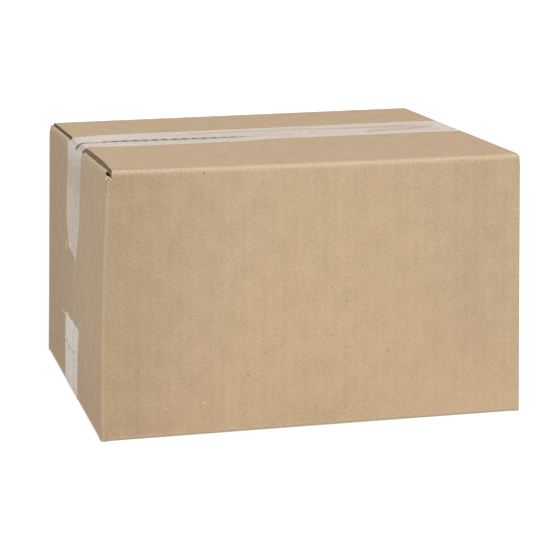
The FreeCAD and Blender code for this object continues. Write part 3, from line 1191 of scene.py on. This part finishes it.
def fibre_group():
    """Node group that scatters short bent fibres over faces."""
    values = ("Length", "Radius", "Density")
    group, given, out = new_group("fibres", "Torn ends", values, seeded=True)
    seed = given["Seed"]
    inputs = {"Mesh": given["Torn ends"], "Density": given["Density"], "Seed": seed}
    scatter = add_node(group, "GeometryNodeDistributePointsOnFaces", inputs)
    bend = add_node(group, "GeometryNodeCurveQuadraticBezier", FIBRE_BEND)
    put(bend.inputs["Resolution"], FIBRE_STEPS)
    ring = add_node(group, "GeometryNodeCurvePrimitiveCircle", {"Resolution": FIBRE_SIDES})
    put(ring.inputs["Radius"], calculate(group, "DIVIDE", given["Radius"], given["Length"]))
    lowest = (-FIBRE_TILT, -FIBRE_TILT, 0)
    highest = (FIBRE_TILT, FIBRE_TILT, math.tau)
    angles = random_value(group, "FLOAT_VECTOR", lowest, highest, seed, 1)
    turned = add_node(group, "FunctionNodeEulerToRotation", {"Euler": angles})
    size = random_value(group, "FLOAT", *FIBRE_SIZES, seed, 2)
    place = add_node(group, "GeometryNodeInstanceOnPoints", {
        "Points": scatter.outputs["Points"],
        "Instance": swept(group, bend.outputs["Curve"], ring.outputs["Curve"]),
        "Rotation": turned.outputs["Rotation"],
        "Scale": calculate(group, "MULTIPLY", size, given["Length"]),
    })
    finish_group(group, place.outputs["Instances"], given["Paper"], out)
    return group


def torn_end_faces():
    """Quads over the torn tops of the corner posts, from the outer paper to the inner."""
    quads = []
    for start, stop in cut_edges:
        if start[1] == stop[1] == ROW_OF_POST_TOP and lines[start[0]].top.kind == "post":
            outer = [board_point(*start, LINER), board_point(*stop, LINER)]
            inner = [board_point(*stop, BOARD - LINER), board_point(*start, BOARD - LINER)]
            quads.append(outer + inner)
    return quads


torn_quads = torn_end_faces()
torn_points = [point for quad in torn_quads for point in quad]
torn_faces = [tuple(range(index * 4, index * 4 + 4)) for index in range(len(torn_quads))]
FIBRE_PAPER = plain_paper("fibre_paper", (0.56, 0.45, 0.32, 1), (0.78, 0.68, 0.54, 1))
torn_ends = mesh_object("torn_ends", torn_points, torn_faces, FIBRE_PAPER)
fibres = run_group("fibres", torn_ends, fibre_group(), {
    "Length": FIBRE_LENGTH, "Radius": FIBRE_RADIUS, "Density": FIBRE_DENSITY,
    "Seed": FIBRE_SEED, "Paper": FIBRE_PAPER})
print("fibres have", len(fibres.data.polygons), "faces")

# %% [markdown]
# ## Packing tape
#
# Packing tape is a clear film. It looks milky where its adhesive has caught air against the paper,
# and clear where it bridges a gap, as it does over the seam. It is built as a thin closed strip
# that follows the flaps' own lift, rounds the ends of the flaps and runs down the end panels. Each
# strip is a grid of steps along and columns across, so a torn or toothed end is only a rule for how
# far each column runs.

# %% Path of a strip
TAPE_THICKNESS = 0.08 * MM
TAPE_GAP = 0.04 * MM
TAPE_STEP = 2.0 * MM
DROP_STEP = 0.8 * MM
TAPE_COLUMNS = 64
TOOTH_PITCH = 12.0 * MM
TOOTH_DEPTH = 3.8 * MM
BRIDGE_STEPS = 12
BRIDGE_IN_LEFT = 7.0 * MM
BRIDGE_IN_RIGHT = 2.6 * MM
BRIDGE_DOWN = 5.6 * MM
BOTTOM_BEND = 1.2 * MM
SEAM_BRIDGE = 2.5 * MM

Stop = namedtuple("Stop", "part place")


def strip_stops(drop_left, drop_right):
    """Stops along a strip, from its left end over the box to its right end.

    A drop's place is the share of its length that is left below the corner, a corner's is the share
    of the turn, and a run's is the share of the carton's length.
    """
    stops = []
    for share in spaced(1, 0, DROP_STEP / drop_left):
        stops.append(Stop("left drop", share))
    for share in spaced(0, 1, 1 / BRIDGE_STEPS)[1:]:
        stops.append(Stop("left corner", share))
    for share in spaced(0, 1, TAPE_STEP / LENGTH)[1:]:
        stops.append(Stop("run", share))
    for share in spaced(1, 0, 1 / BRIDGE_STEPS)[1:]:
        stops.append(Stop("right corner", share))
    for share in spaced(0, 1, DROP_STEP / drop_right)[1:]:
        stops.append(Stop("right drop", share))
    return stops


def tape_lift(x, y):
    """Height of the tape over the crease level: it bridges the step between the two flaps."""
    if y >= 0:
        return crease_rise(x, y) + flap_lift(x, y)
    front = flap_lift(x, min(y, -PLY_CLEARANCE))
    back = flap_lift(x, PLY_CLEARANCE)
    return crease_rise(x, y) + blend(front, back, smooth((y + SEAM_BRIDGE) / SEAM_BRIDGE))


def top_tape_point(stop, y, drop_left, drop_right, off):
    """Point of the top strip at one stop; off is how far it stands off the board."""
    left = stop.part.startswith("left")
    inset = BRIDGE_IN_LEFT if left else BRIDGE_IN_RIGHT
    foot_z = TOP - BRIDGE_DOWN
    if stop.part == "run":
        x = -HALF_LENGTH + BRIDGE_IN_LEFT + stop.place * (LENGTH - BRIDGE_IN_LEFT - BRIDGE_IN_RIGHT)
        return settle((x, y, TOP + tape_lift(x, y) + off))
    side = -1 if left else 1
    edge_x = side * (HALF_LENGTH - inset)
    if stop.part.endswith("corner"):
        turn = (1 - stop.place) * math.pi / 2
        head_z = TOP + tape_lift(edge_x, y) + off
        x = edge_x + side * (inset + off) * math.sin(turn)
        return settle((x, y, foot_z + (head_z - foot_z) * math.cos(turn)))
    drop = drop_left if left else drop_right
    return settle((side * (HALF_LENGTH + off), y, foot_z - stop.place * (drop - BRIDGE_DOWN)))


def bottom_tape_point(stop, y, climb_left, climb_right, off):
    """Point of the bottom strip at one stop."""
    left = stop.part.startswith("left")
    side = -1 if left else 1
    if stop.part == "run":
        x = (stop.place - 0.5) * (LENGTH - BOTTOM_BEND * 2)
        return Vector((x, y, BASE - off / 2))
    if stop.part.endswith("corner"):
        turn = (1 - stop.place) * math.pi / 2
        x = side * (HALF_LENGTH - BOTTOM_BEND + (BOTTOM_BEND + off) * math.sin(turn))
        z = BASE + BOTTOM_BEND - (BOTTOM_BEND + off / 2) * math.cos(turn)
        return settle((x, y, z))
    climb = climb_left if left else climb_right
    z = BASE + BOTTOM_BEND + stop.place * (climb - BOTTOM_BEND)
    return settle((side * (HALF_LENGTH + off), y, z))


print("the top strip bridges", BRIDGE_IN_LEFT / MM, "mm at the left and", BRIDGE_DOWN / MM, "mm down")

# %% Ends of the strips
TOP_DROP = 88.0 * MM
TOP_FULL_DROP = 57.0 * MM
TOP_END_WIDTH = 38.0 * MM
TOP_END_SHIFT = -0.5 * MM
TOP_DROP_RIGHT = 62.0 * MM
BOTTOM_OFFSET = 5.0 * MM
BOTTOM_FLARE = 3.2 * MM
BOTTOM_CLIMB_LEFT = 58.0 * MM
BOTTOM_CLIMB_RIGHT = 48.0 * MM
TORN_SHORT = 1.5 * MM
TORN_CORNER = 2.5 * MM
TORN_TIP = 6.5 * MM
TORN_TIP_PLACE = 0.09
TORN_TIP_WIDTH = 0.045
TORN_COARSE = 1.6 * MM
TORN_FINE = 0.9 * MM


def toothed_end(across):
    """How far short of its full length a strip ends at one column: the zigzag of a blade."""
    tooth = across * TAPE_WIDTH / TOOTH_PITCH
    uneven = 0.75 + 0.5 * noise.noise((math.floor(tooth) * 1.7, 4.0, 0))
    return TOOTH_DEPTH * uneven * abs(2 * (tooth % 1) - 1)


def torn_end(across):
    """The same for the torn left end: blunt and ragged, with one thin tip near the front."""
    ragged = TORN_COARSE * noise.noise((across * 9, 1.0, 0))
    ragged += TORN_FINE * noise.noise((across * 31, 7.0, 0))
    corner = TORN_CORNER * smooth(across * 1.2)
    tip = TORN_TIP * math.exp(-((across - TORN_TIP_PLACE) / TORN_TIP_WIDTH) ** 2)
    return TORN_SHORT + ragged + corner - tip


def top_centre_and_half(stop):
    """Middle and half width of the top strip at one stop."""
    if stop.part == "run":
        x = -HALF_LENGTH + stop.place * LENGTH
        return top_tape_middle(x), TAPE_WIDTH / 2
    if stop.part == "left drop":
        fallen = stop.place * TOP_DROP
        share = smooth((fallen - TOP_FULL_DROP) / (TOP_DROP - TOP_FULL_DROP) * 0.9)
        half = blend(TAPE_WIDTH, TOP_END_WIDTH, share) / 2
        return TOP_OFFSET_LEFT + TOP_END_SHIFT * share, half
    middle = TOP_OFFSET_LEFT if stop.part.startswith("left") else TOP_OFFSET_RIGHT
    return middle, TAPE_WIDTH / 2


def bottom_centre_and_half(stop):
    """Middle and half width of the bottom strip; its left end is stretched wider at the front."""
    flare = BOTTOM_FLARE * smooth(stop.place * 2.2 - 1.2) if stop.part == "left drop" else 0.0
    return BOTTOM_OFFSET - flare, TAPE_WIDTH / 2 + flare


print("the torn end is", round(TOP_END_WIDTH / MM), "mm wide")

# %% Build a strip
RIPPLE = 0.10 * MM

Look = namedtuple("Look", "haze dirt lift")


def strip_layer(stops, spread, place_point, drops, shorten, look_at, thickness):
    """Points of one face of a strip, with each one's flat place and look."""
    layer = []
    run = 0.0
    for stop in stops:
        centre, half = spread(stop)
        for column in range(TAPE_COLUMNS + 1):
            across = column / TAPE_COLUMNS
            y = centre + (across * 2 - 1) * half
            lost_left, lost_right = shorten(across)
            left, right = drops[0] - lost_left, drops[1] - lost_right
            look = look_at(stop, across, place_point(stop, y, left, right, 0))
            ripple = noise.noise((run * 18, across * 14, 3.0 + drops[0] * 100))
            off = TAPE_GAP + thickness + look.lift + RIPPLE * (0.5 + 0.5 * ripple)
            layer.append((place_point(stop, y, left, right, off), (run, across * TAPE_WIDTH), look))
        run += DROP_STEP if stop.part.endswith("drop") else TAPE_STEP
    return layer


def strip_faces(row_count, turned):
    """Faces of both sides and the rim of a strip; turned swaps its inside and outside."""
    count = TAPE_COLUMNS + 1
    layer = row_count * count
    faces = []
    for row in range(row_count - 1):
        for column in range(TAPE_COLUMNS):
            a = row * count + column
            quad = (a, a + count, a + count + 1, a + 1)
            faces.append(quad)
            faces.append(tuple(index + layer for index in reversed(quad)))
    rim = list(range(count))
    rim += [row * count + TAPE_COLUMNS for row in range(1, row_count)]
    rim += [layer - 1 - column for column in range(1, count)]
    rim += [row * count for row in range(row_count - 2, 0, -1)]
    for here, there in zip(rim, rim[1:] + rim[:1]):
        faces.append((here, there, there + layer, here + layer))
    if turned:
        return [tuple(reversed(face)) for face in faces]
    return faces


def strip_mesh(name, stops, spread, place_point, drops, shorten, look_at, turned, material):
    """Closed thin strip; shorten gives each column's lost length at each end."""
    layers = []
    for thickness in (TAPE_THICKNESS, 0.0):
        layers += strip_layer(stops, spread, place_point, drops, shorten, look_at, thickness)
    points = [point for point, flat, look in layers]
    strip = mesh_object(name, points, strip_faces(len(stops), turned), material)
    add_flat_map(strip.data, "strip", [flat for point, flat, look in layers])
    add_point_values(strip.data, "haze", [look.haze for point, flat, look in layers])
    add_point_values(strip.data, "dirt", [look.dirt for point, flat, look in layers])
    return strip


print("a strip has", TAPE_COLUMNS, "columns")

# %% [markdown]
# ## Milky film
#
# The film is see-through by its alpha, which the strip carries as a haze value: high where the
# adhesive holds it with fine bubbles, low over the seam. Streaks along the strip come from noise
# that is stretched along it. Real film this thin casts no visible shadow on what it sticks to, so
# its shadow is turned off; otherwise the paper below would look dirty.

# %% Film material
FILM_COLOUR_LOW = (0.72, 0.675, 0.64, 1)
FILM_COLOUR_HIGH = (0.79, 0.75, 0.72, 1)
MILKY_COLOUR_LOW = (0.55, 0.455, 0.37, 1)
MILKY_COLOUR_HIGH = (0.665, 0.56, 0.465, 1)
FILM_DIRT_AND_SHADE = (0.17, 0.12, 0.085, 1)
FILM_SHINE = 0.5
SEAM_PLACE = -0.4 * MM
SEAM_CLEAR = 0.98
STREAK_TONE = 0.24
BUBBLE_TONE = 0.12
DIRT_AND_SHADE_ALPHA = 0.7
FILM_BUMP = 0.15 * MM


def seam_clearing(tree, seam_clear):
    """1 away from the seam of the top, less over it, where the film touches nothing."""
    axes = add_node(tree, "ShaderNodeSeparateXYZ", {0: object_place(tree)})
    from_middle = calculate(tree, "SUBTRACT", axes.outputs["Y"], SEAM_PLACE)
    from_seam = calculate(tree, "ABSOLUTE", from_middle)
    over_seam = between(tree, from_seam, 0.8 * MM, 1.6 * MM, seam_clear, 0.0)
    on_top = between(tree, axes.outputs["Z"], TOP - 2 * MM, TOP - 0.5 * MM)
    fading = between(tree, axes.outputs["X"], -0.45 * HALF_LENGTH, 0.1 * HALF_LENGTH, 1.0, 0.35)
    turns = calculate(tree, "MULTIPLY", axes.outputs["X"], math.tau / FLUTE_PITCH)
    beads = calculate(tree, "MULTIPLY_ADD", calculate(tree, "SINE", turns), 0.35, 0.65)
    share = calculate(tree, "MULTIPLY", calculate(tree, "MULTIPLY", over_seam, on_top), fading)
    return calculate(tree, "SUBTRACT", 1.0, calculate(tree, "MULTIPLY", share, beads))


def film_material(name, low, high, seam_clear):
    """Clear tape with streaked haze; seam_clear is how much clearer it is over the seam."""
    material = new_material(name)
    tree = material.node_tree
    place = flat_place(tree, "strip")
    streaks = paper_noise(tree, place, (150 * MM, 5.0 * MM), 1.0)
    fine = paper_noise(tree, place, (90 * MM, 2.4 * MM), 0.0, 3.0)
    patches = paper_noise(tree, place, (9 * MM, 7 * MM), 2.0, 6.0)
    streak = calculate(tree, "MULTIPLY_ADD", fine, 0.4, calculate(tree, "MULTIPLY", streaks, 0.6))
    tone = between(tree, streak, 0.3, 0.7)
    # Dark film colour from the point values: real marks, painted shade over the seam, at the bridged
    # left edge and beside the bottom strip's front border, and darker film along the tunnels. The same
    # values make the film more opaque and less shiny.
    dirt = named_value(tree, "dirt")
    colour = blend_colours(tree, dirt, blend_colours(tree, tone, low, high), FILM_DIRT_AND_SHADE)
    bubble = between(tree, patches, 0.3, 0.7)
    bubbles = calculate(tree, "MULTIPLY_ADD", bubble, BUBBLE_TONE, 1 - BUBBLE_TONE / 2)
    uneven = calculate(tree, "MULTIPLY_ADD", tone, STREAK_TONE, 1 - STREAK_TONE / 2)
    pattern = calculate(tree, "MULTIPLY", bubbles, uneven)
    haze = calculate(tree, "MULTIPLY", named_value(tree, "haze"), pattern)
    alpha = calculate(tree, "MULTIPLY", haze, seam_clearing(tree, seam_clear))
    alpha = calculate(tree, "MAXIMUM", alpha, calculate(tree, "MULTIPLY", dirt, DIRT_AND_SHADE_ALPHA))
    shine = calculate(tree, "MULTIPLY_ADD", dirt, -FILM_SHINE, FILM_SHINE)
    finish_material(tree, {
        "Base Color": colour,
        "Alpha": calculate(tree, "MINIMUM", alpha, 1.0),
        "Specular IOR Level": calculate(tree, "MAXIMUM", shine, 0.0),
        "Roughness": between(tree, patches, 0.3, 0.7, 0.22, 0.38),
        "Normal": bumped(tree, streak, 0.15, FILM_BUMP),
    })
    return material


FILM = film_material("clear_tape", FILM_COLOUR_LOW, FILM_COLOUR_HIGH, SEAM_CLEAR)
MILKY_FILM = film_material("milky_tape", MILKY_COLOUR_LOW, MILKY_COLOUR_HIGH, 0.0)
print(FILM.name, "and", MILKY_FILM.name, "are ready")

# %% Haze, wrinkles, dirt and painted shade of the strips
RUN_HAZE = 0.54
BRIDGE_HAZE = 0.64
DROP_HAZE_HIGH = 0.27
DROP_HAZE_LOW = 0.40
RIGHT_HAZE = 0.50
BOTTOM_HAZE = 0.93
TUNNEL_LIFT = 0.35 * MM
# How much darker the film is along the tunnels.
TUNNEL_DARKENING = 0.55
SEAM_PAINTED_SHADE = 1.25
BRIDGE_PAINTED_SHADE = 0.16
CREASE_LIFT = 0.5 * MM
CREASE_HEIGHT = 34.2 * MM
CREASE_HALF = 1.1 * MM
SEAM_SHADE_PLACE = -0.5 * MM
SEAM_SHADE_HALF = 4.2 * MM
BRIDGE_FADE = 5 * MM
PAINTED_SHADE_FADE = 12 * MM
DROP_FADE = 14 * MM
DROP_FADE_START = 28 * MM
LEFT_RUN_HAZE = 0.06
TUNNEL_CLEAR = 0.7
CRINKLE_START = 0.93
CRINKLE_FADE = 0.05
CRINKLE_HAZE = 0.5
CRINKLE_LIFT = 0.6
MOST_HAZE = 0.98

# A tunnel is a long blister where the film touches nothing: its half width, and stops with the share
# of the run, the place across the strip and how clear it is there.
Tunnel = namedtuple("Tunnel", "half stops")
TUNNELS = (
    Tunnel(4.0 * MM, ((0.27, 0.72, 0.0), (0.33, 0.72, 0.45), (0.60, 0.76, 0.50), (0.68, 0.68, 0.60),
                      (0.72, 0.64, 0.95), (0.86, 0.62, 1.0), (0.92, 0.60, 0.5), (0.96, 0.57, 0.0))),
    Tunnel(4.2 * MM, ((0.74, 0.22, 0.0), (0.78, 0.32, 0.95), (0.88, 0.385, 1.0), (0.92, 0.43, 1.0),
                      (0.96, 0.48, 0.0))),
)

# A mark is a small dark spot on an end panel: its place across the box, its height and its sizes.
Mark = namedtuple("Mark", "y z half_y half_z strength")
TOP_MARKS = (
    Mark(2.5 * MM, 174 * MM, 2.6 * MM, 16 * MM, 0.42),
    Mark(-14.0 * MM, 160 * MM, 2.0 * MM, 22 * MM, 0.22),
)
BOTTOM_MARKS = (
    Mark(31 * MM, 33.1 * MM, 5.0 * MM, 1.3 * MM, 1.0),
    Mark(18 * MM, 31.0 * MM, 4.5 * MM, 1.4 * MM, 1.0),
    Mark(-6 * MM, 33.3 * MM, 5.5 * MM, 1.2 * MM, 0.95),
    # This long thin mark is painted shade beside the bottom strip's front border.
    Mark(-28.4 * MM, 26 * MM, 0.7 * MM, 34 * MM, 0.55),
    Mark(15 * MM, 57.5 * MM, 3.0 * MM, 1.3 * MM, 0.8),
    Mark(-13 * MM, 57.0 * MM, 3.0 * MM, 1.3 * MM, 0.8),
)


def one_side(total):
    """Alpha of one face of the strip, for a wanted total through both."""
    return 1 - math.sqrt(1 - min(total, MOST_HAZE))


def tunnel_share(along, across):
    """How much of a tunnel is at this place of the run: 0 to 1."""
    most = 0.0
    for tunnel in TUNNELS:
        for here, there in zip(tunnel.stops, tunnel.stops[1:]):
            share = (along - here[0]) / (there[0] - here[0])
            if 0 <= share <= 1:
                middle = blend(here[1], there[1], share)
                strength = blend(here[2], there[2], share)
                away = (across - middle) * TAPE_WIDTH / tunnel.half
                most = max(most, strength * math.exp(-away * away))
    return most


def mark_share(marks, place):
    """Strength of the dark marks at this place of an end panel."""
    most = 0.0
    for mark in marks:
        away = ((place.y - mark.y) / mark.half_y) ** 2 + ((place.z - mark.z) / mark.half_z) ** 2
        most = max(most, mark.strength * math.exp(-away * away))
    return most


def run_look(share, across, seam):
    """Look of the top strip on the flaps: tunnels, darker along them, a crinkled right end, and painted
    shade of the seam's gap and the bridged edge at the left.
    """
    tunnel = tunnel_share(share, across)
    crinkle = max(0.0, noise.noise((share * 300, across * 22, 8.0)))
    crinkle *= smooth((share - CRINKLE_START) / CRINKLE_FADE)
    from_left = share * LENGTH
    total = RUN_HAZE + LEFT_RUN_HAZE * (1 - smooth(share / 0.2))
    total = blend(total, BRIDGE_HAZE, 1 - smooth(from_left / BRIDGE_FADE))
    total = total * (1 - TUNNEL_CLEAR * tunnel) + CRINKLE_HAZE * crinkle
    dirt = (SEAM_PAINTED_SHADE * seam + BRIDGE_PAINTED_SHADE * 0.6) * (1 - smooth(from_left / PAINTED_SHADE_FADE))
    lift = TUNNEL_LIFT * max(tunnel, crinkle * CRINKLE_LIFT)
    return Look(one_side(total), max(dirt, TUNNEL_DARKENING * tunnel), lift)


def left_drop_look(place):
    """Look of the top strip on the left end panel: clearer below the bridged edge, with painted shade
    only near that edge, and dark marks.
    """
    fallen = TOP - place.z
    low = smooth((fallen - DROP_FADE_START) / DROP_FADE)
    near_edge = 1 - smooth((fallen - BRIDGE_DOWN) / DROP_FADE)
    total = blend(blend(DROP_HAZE_HIGH, DROP_HAZE_LOW, low), BRIDGE_HAZE, near_edge)
    dirt = max(BRIDGE_PAINTED_SHADE * near_edge, mark_share(TOP_MARKS, place))
    return Look(one_side(total), dirt, 0.0)


def top_look(stop, across, place):
    """Look of the top strip: opaque where it bridges the left edge, streaked over the flaps."""
    # Painted shade of the open seam between the flaps, seen through the film.
    seam = math.exp(-((place.y - SEAM_SHADE_PLACE) / SEAM_SHADE_HALF) ** 2)
    if stop.part == "run":
        return run_look(stop.place, across, seam)
    if stop.part == "left corner":
        # Painted shade where the film bridges the gap at the flaps' left end, with the seam's painted
        # shade running into it.
        dirt = BRIDGE_PAINTED_SHADE * (1 - 0.4 * smooth(stop.place))
        dirt += SEAM_PAINTED_SHADE * seam * smooth(stop.place * 3)
        return Look(one_side(BRIDGE_HAZE), dirt, 0.0)
    if stop.part == "left drop":
        return left_drop_look(place)
    return Look(one_side(RIGHT_HAZE), 0.0, 0.0)


def bottom_look(stop, across, place):
    """Look of the bottom strip: milky all over, with a wrinkle and dark marks at the left."""
    if stop.part != "left drop":
        return Look(one_side(BOTTOM_HAZE), 0.0, 0.0)
    crease = math.exp(-((place.z - CREASE_HEIGHT) / CREASE_HALF) ** 2)
    crease *= smooth((place.y + 12 * MM) / (6 * MM))
    return Look(one_side(BOTTOM_HAZE), mark_share(BOTTOM_MARKS, place), CREASE_LIFT * crease)


print(len(TUNNELS), "tunnels and", len(TOP_MARKS) + len(BOTTOM_MARKS), "marks")

# %% The two strips
top_tape = strip_mesh("top_strip", strip_stops(TOP_DROP, TOP_DROP_RIGHT), top_centre_and_half,
                      top_tape_point, (TOP_DROP, TOP_DROP_RIGHT),
                      lambda across: (torn_end(across), toothed_end(across)), top_look, False, FILM)
bottom_tape = strip_mesh("bottom_strip", strip_stops(BOTTOM_CLIMB_LEFT, BOTTOM_CLIMB_RIGHT),
                         bottom_centre_and_half, bottom_tape_point,
                         (BOTTOM_CLIMB_LEFT, BOTTOM_CLIMB_RIGHT),
                         lambda across: (toothed_end(across), toothed_end(1 - across)),
                         bottom_look, True, MILKY_FILM)
for strip in (top_tape, bottom_tape):
    strip.visible_shadow = False
    strip.visible_diffuse = False
print("top strip", len(top_tape.data.polygons), "faces, bottom strip", len(bottom_tape.data.polygons))

# %% [markdown]
# ## Flecks and loose ends
#
# Three flecks of torn liner hang at the front left corner, and two bits of film have come away from
# the ends of the tapes. Each could be a cut plane, but a plane has no thickness at its rim. A path of a
# few points with a half width at each gives a thin closed sliver that lies a hair off its wall.

# %% Slivers of paper and film
SLIVER_THICKNESS = 0.12 * MM
SLIVER_GAP = 0.08 * MM
END_WALL = Vector((-1, 0, 0))
FRONT_WALL = Vector((0, -1, 0))


def sliver(path, halves, outward, way):
    """Points and faces of a thin closed sliver along a path; way is the side its width goes to."""
    points = []
    for lift in (SLIVER_GAP + SLIVER_THICKNESS, SLIVER_GAP):
        for place, half in zip(path, halves):
            for side in (-1, 1):
                points.append(settle(Vector(place) + Vector(way) * half * side) + outward * lift)
    count = len(path) * 2
    faces = []
    for index in range(0, count - 2, 2):
        quad = (index, index + 1, index + 3, index + 2)
        faces.append(quad)
        faces.append(tuple(corner + count for corner in reversed(quad)))
    rim = list(range(0, count, 2)) + list(range(count - 1, 0, -2))
    for here, there in zip(rim, rim[1:] + rim[:1]):
        faces.append((here, there, there + count, here + count))
    return points, faces


def sliver_object(name, slivers, material):
    """One object made of several slivers, with all faces turned outward."""
    points = []
    faces = []
    for path, halves, outward, way in slivers:
        more_points, more_faces = sliver(path, halves, outward, way)
        faces += [tuple(corner + len(points) for corner in face) for face in more_faces]
        points += more_points
    made = mesh_object(name, points, faces, material)
    shape = bmesh.new()
    shape.from_mesh(made.data)
    bmesh.ops.recalc_face_normals(shape, faces=shape.faces)
    shape.to_mesh(made.data)
    shape.free()
    return made


LEFT_X = -HALF_LENGTH
FRONT_Y = -HALF_WIDTH
CHIP_Y = FRONT_Y + 1.2 * MM
CHIP = [(-0.1606, CHIP_Y, 0.1893), (-0.1604, CHIP_Y, 0.1907), (-0.1600, CHIP_Y, 0.1920)]
CHIP_HALVES = (0.5 * MM, 1.0 * MM, 0.5 * MM)
CURL = [(-0.1612, CHIP_Y, 0.1930), (-0.1598, FRONT_Y, 0.1918),
        (-0.1580, FRONT_Y, 0.1905), (-0.1560, FRONT_Y, 0.1892)]
CURL_HALVES = (0.3 * MM, 0.5 * MM, 0.6 * MM, 0.35 * MM)
CRUMB = [(-0.1566, FRONT_Y, 0.1904), (-0.1560, FRONT_Y, 0.1912), (-0.1556, FRONT_Y, 0.1918)]
CRUMB_HALVES = (0.25 * MM, 0.45 * MM, 0.25 * MM)
paper_bits = sliver_object("paper_flecks", [
    (CHIP, CHIP_HALVES, FRONT_WALL, (1, 0, 0)),
    (CURL, CURL_HALVES, FRONT_WALL, (0, 0, 1)),
    (CRUMB, CRUMB_HALVES, FRONT_WALL, (1, 0, 0)),
], FIBRE_PAPER)

SCRAP = [(LEFT_X, 0.0352, 0.1066), (LEFT_X, 0.0356, 0.1095),
         (LEFT_X, 0.0350, 0.1125), (LEFT_X, 0.0362, 0.1148)]
SCRAP_HALVES = (0.5 * MM, 1.4 * MM, 1.2 * MM, 0.4 * MM)
HAIR = [(LEFT_X, 0.0350, 0.0546), (LEFT_X, 0.0430, 0.0538),
        (LEFT_X, 0.0530, 0.0530), (LEFT_X, 0.0615, 0.0512)]
HAIR_HALVES = (0.35 * MM, 0.28 * MM, 0.22 * MM, 0.12 * MM)
FILM_BITS = plain_paper("film_bits", (0.70, 0.66, 0.60, 1), (0.86, 0.83, 0.78, 1))
film_bits = sliver_object("film_bits", [
    (SCRAP, SCRAP_HALVES, END_WALL, (0, 1, 0)),
    (HAIR, HAIR_HALVES, END_WALL, (0, 0, 1)),
], FILM_BITS)
print("flecks", len(paper_bits.data.polygons), "faces, film bits", len(film_bits.data.polygons))

# %% [markdown]
# ## Hand-over
#
# Every piece rides on the carton's one body. The folded sheet and the two strips stand for the
# measured solids, which are hidden.

# %% Hand-over
def hand_over(piece, slot, *nodes):
    """Puts a finished piece on the carton's body and hides the measured solids it stands for; slot is
    not used.
    """
    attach(piece, "root")
    if nodes:
        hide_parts(*nodes)


hand_over(carton, "kraft_board", "carton")
hand_over(top_tape, "clear_tape", "top_tape")
hand_over(bottom_tape, "clear_tape", "bottom_tape")
hand_over(medium, "kraft_board")
hand_over(fibres, "kraft_board")
hand_over(paper_bits, "kraft_board")
hand_over(film_bits, "clear_tape")
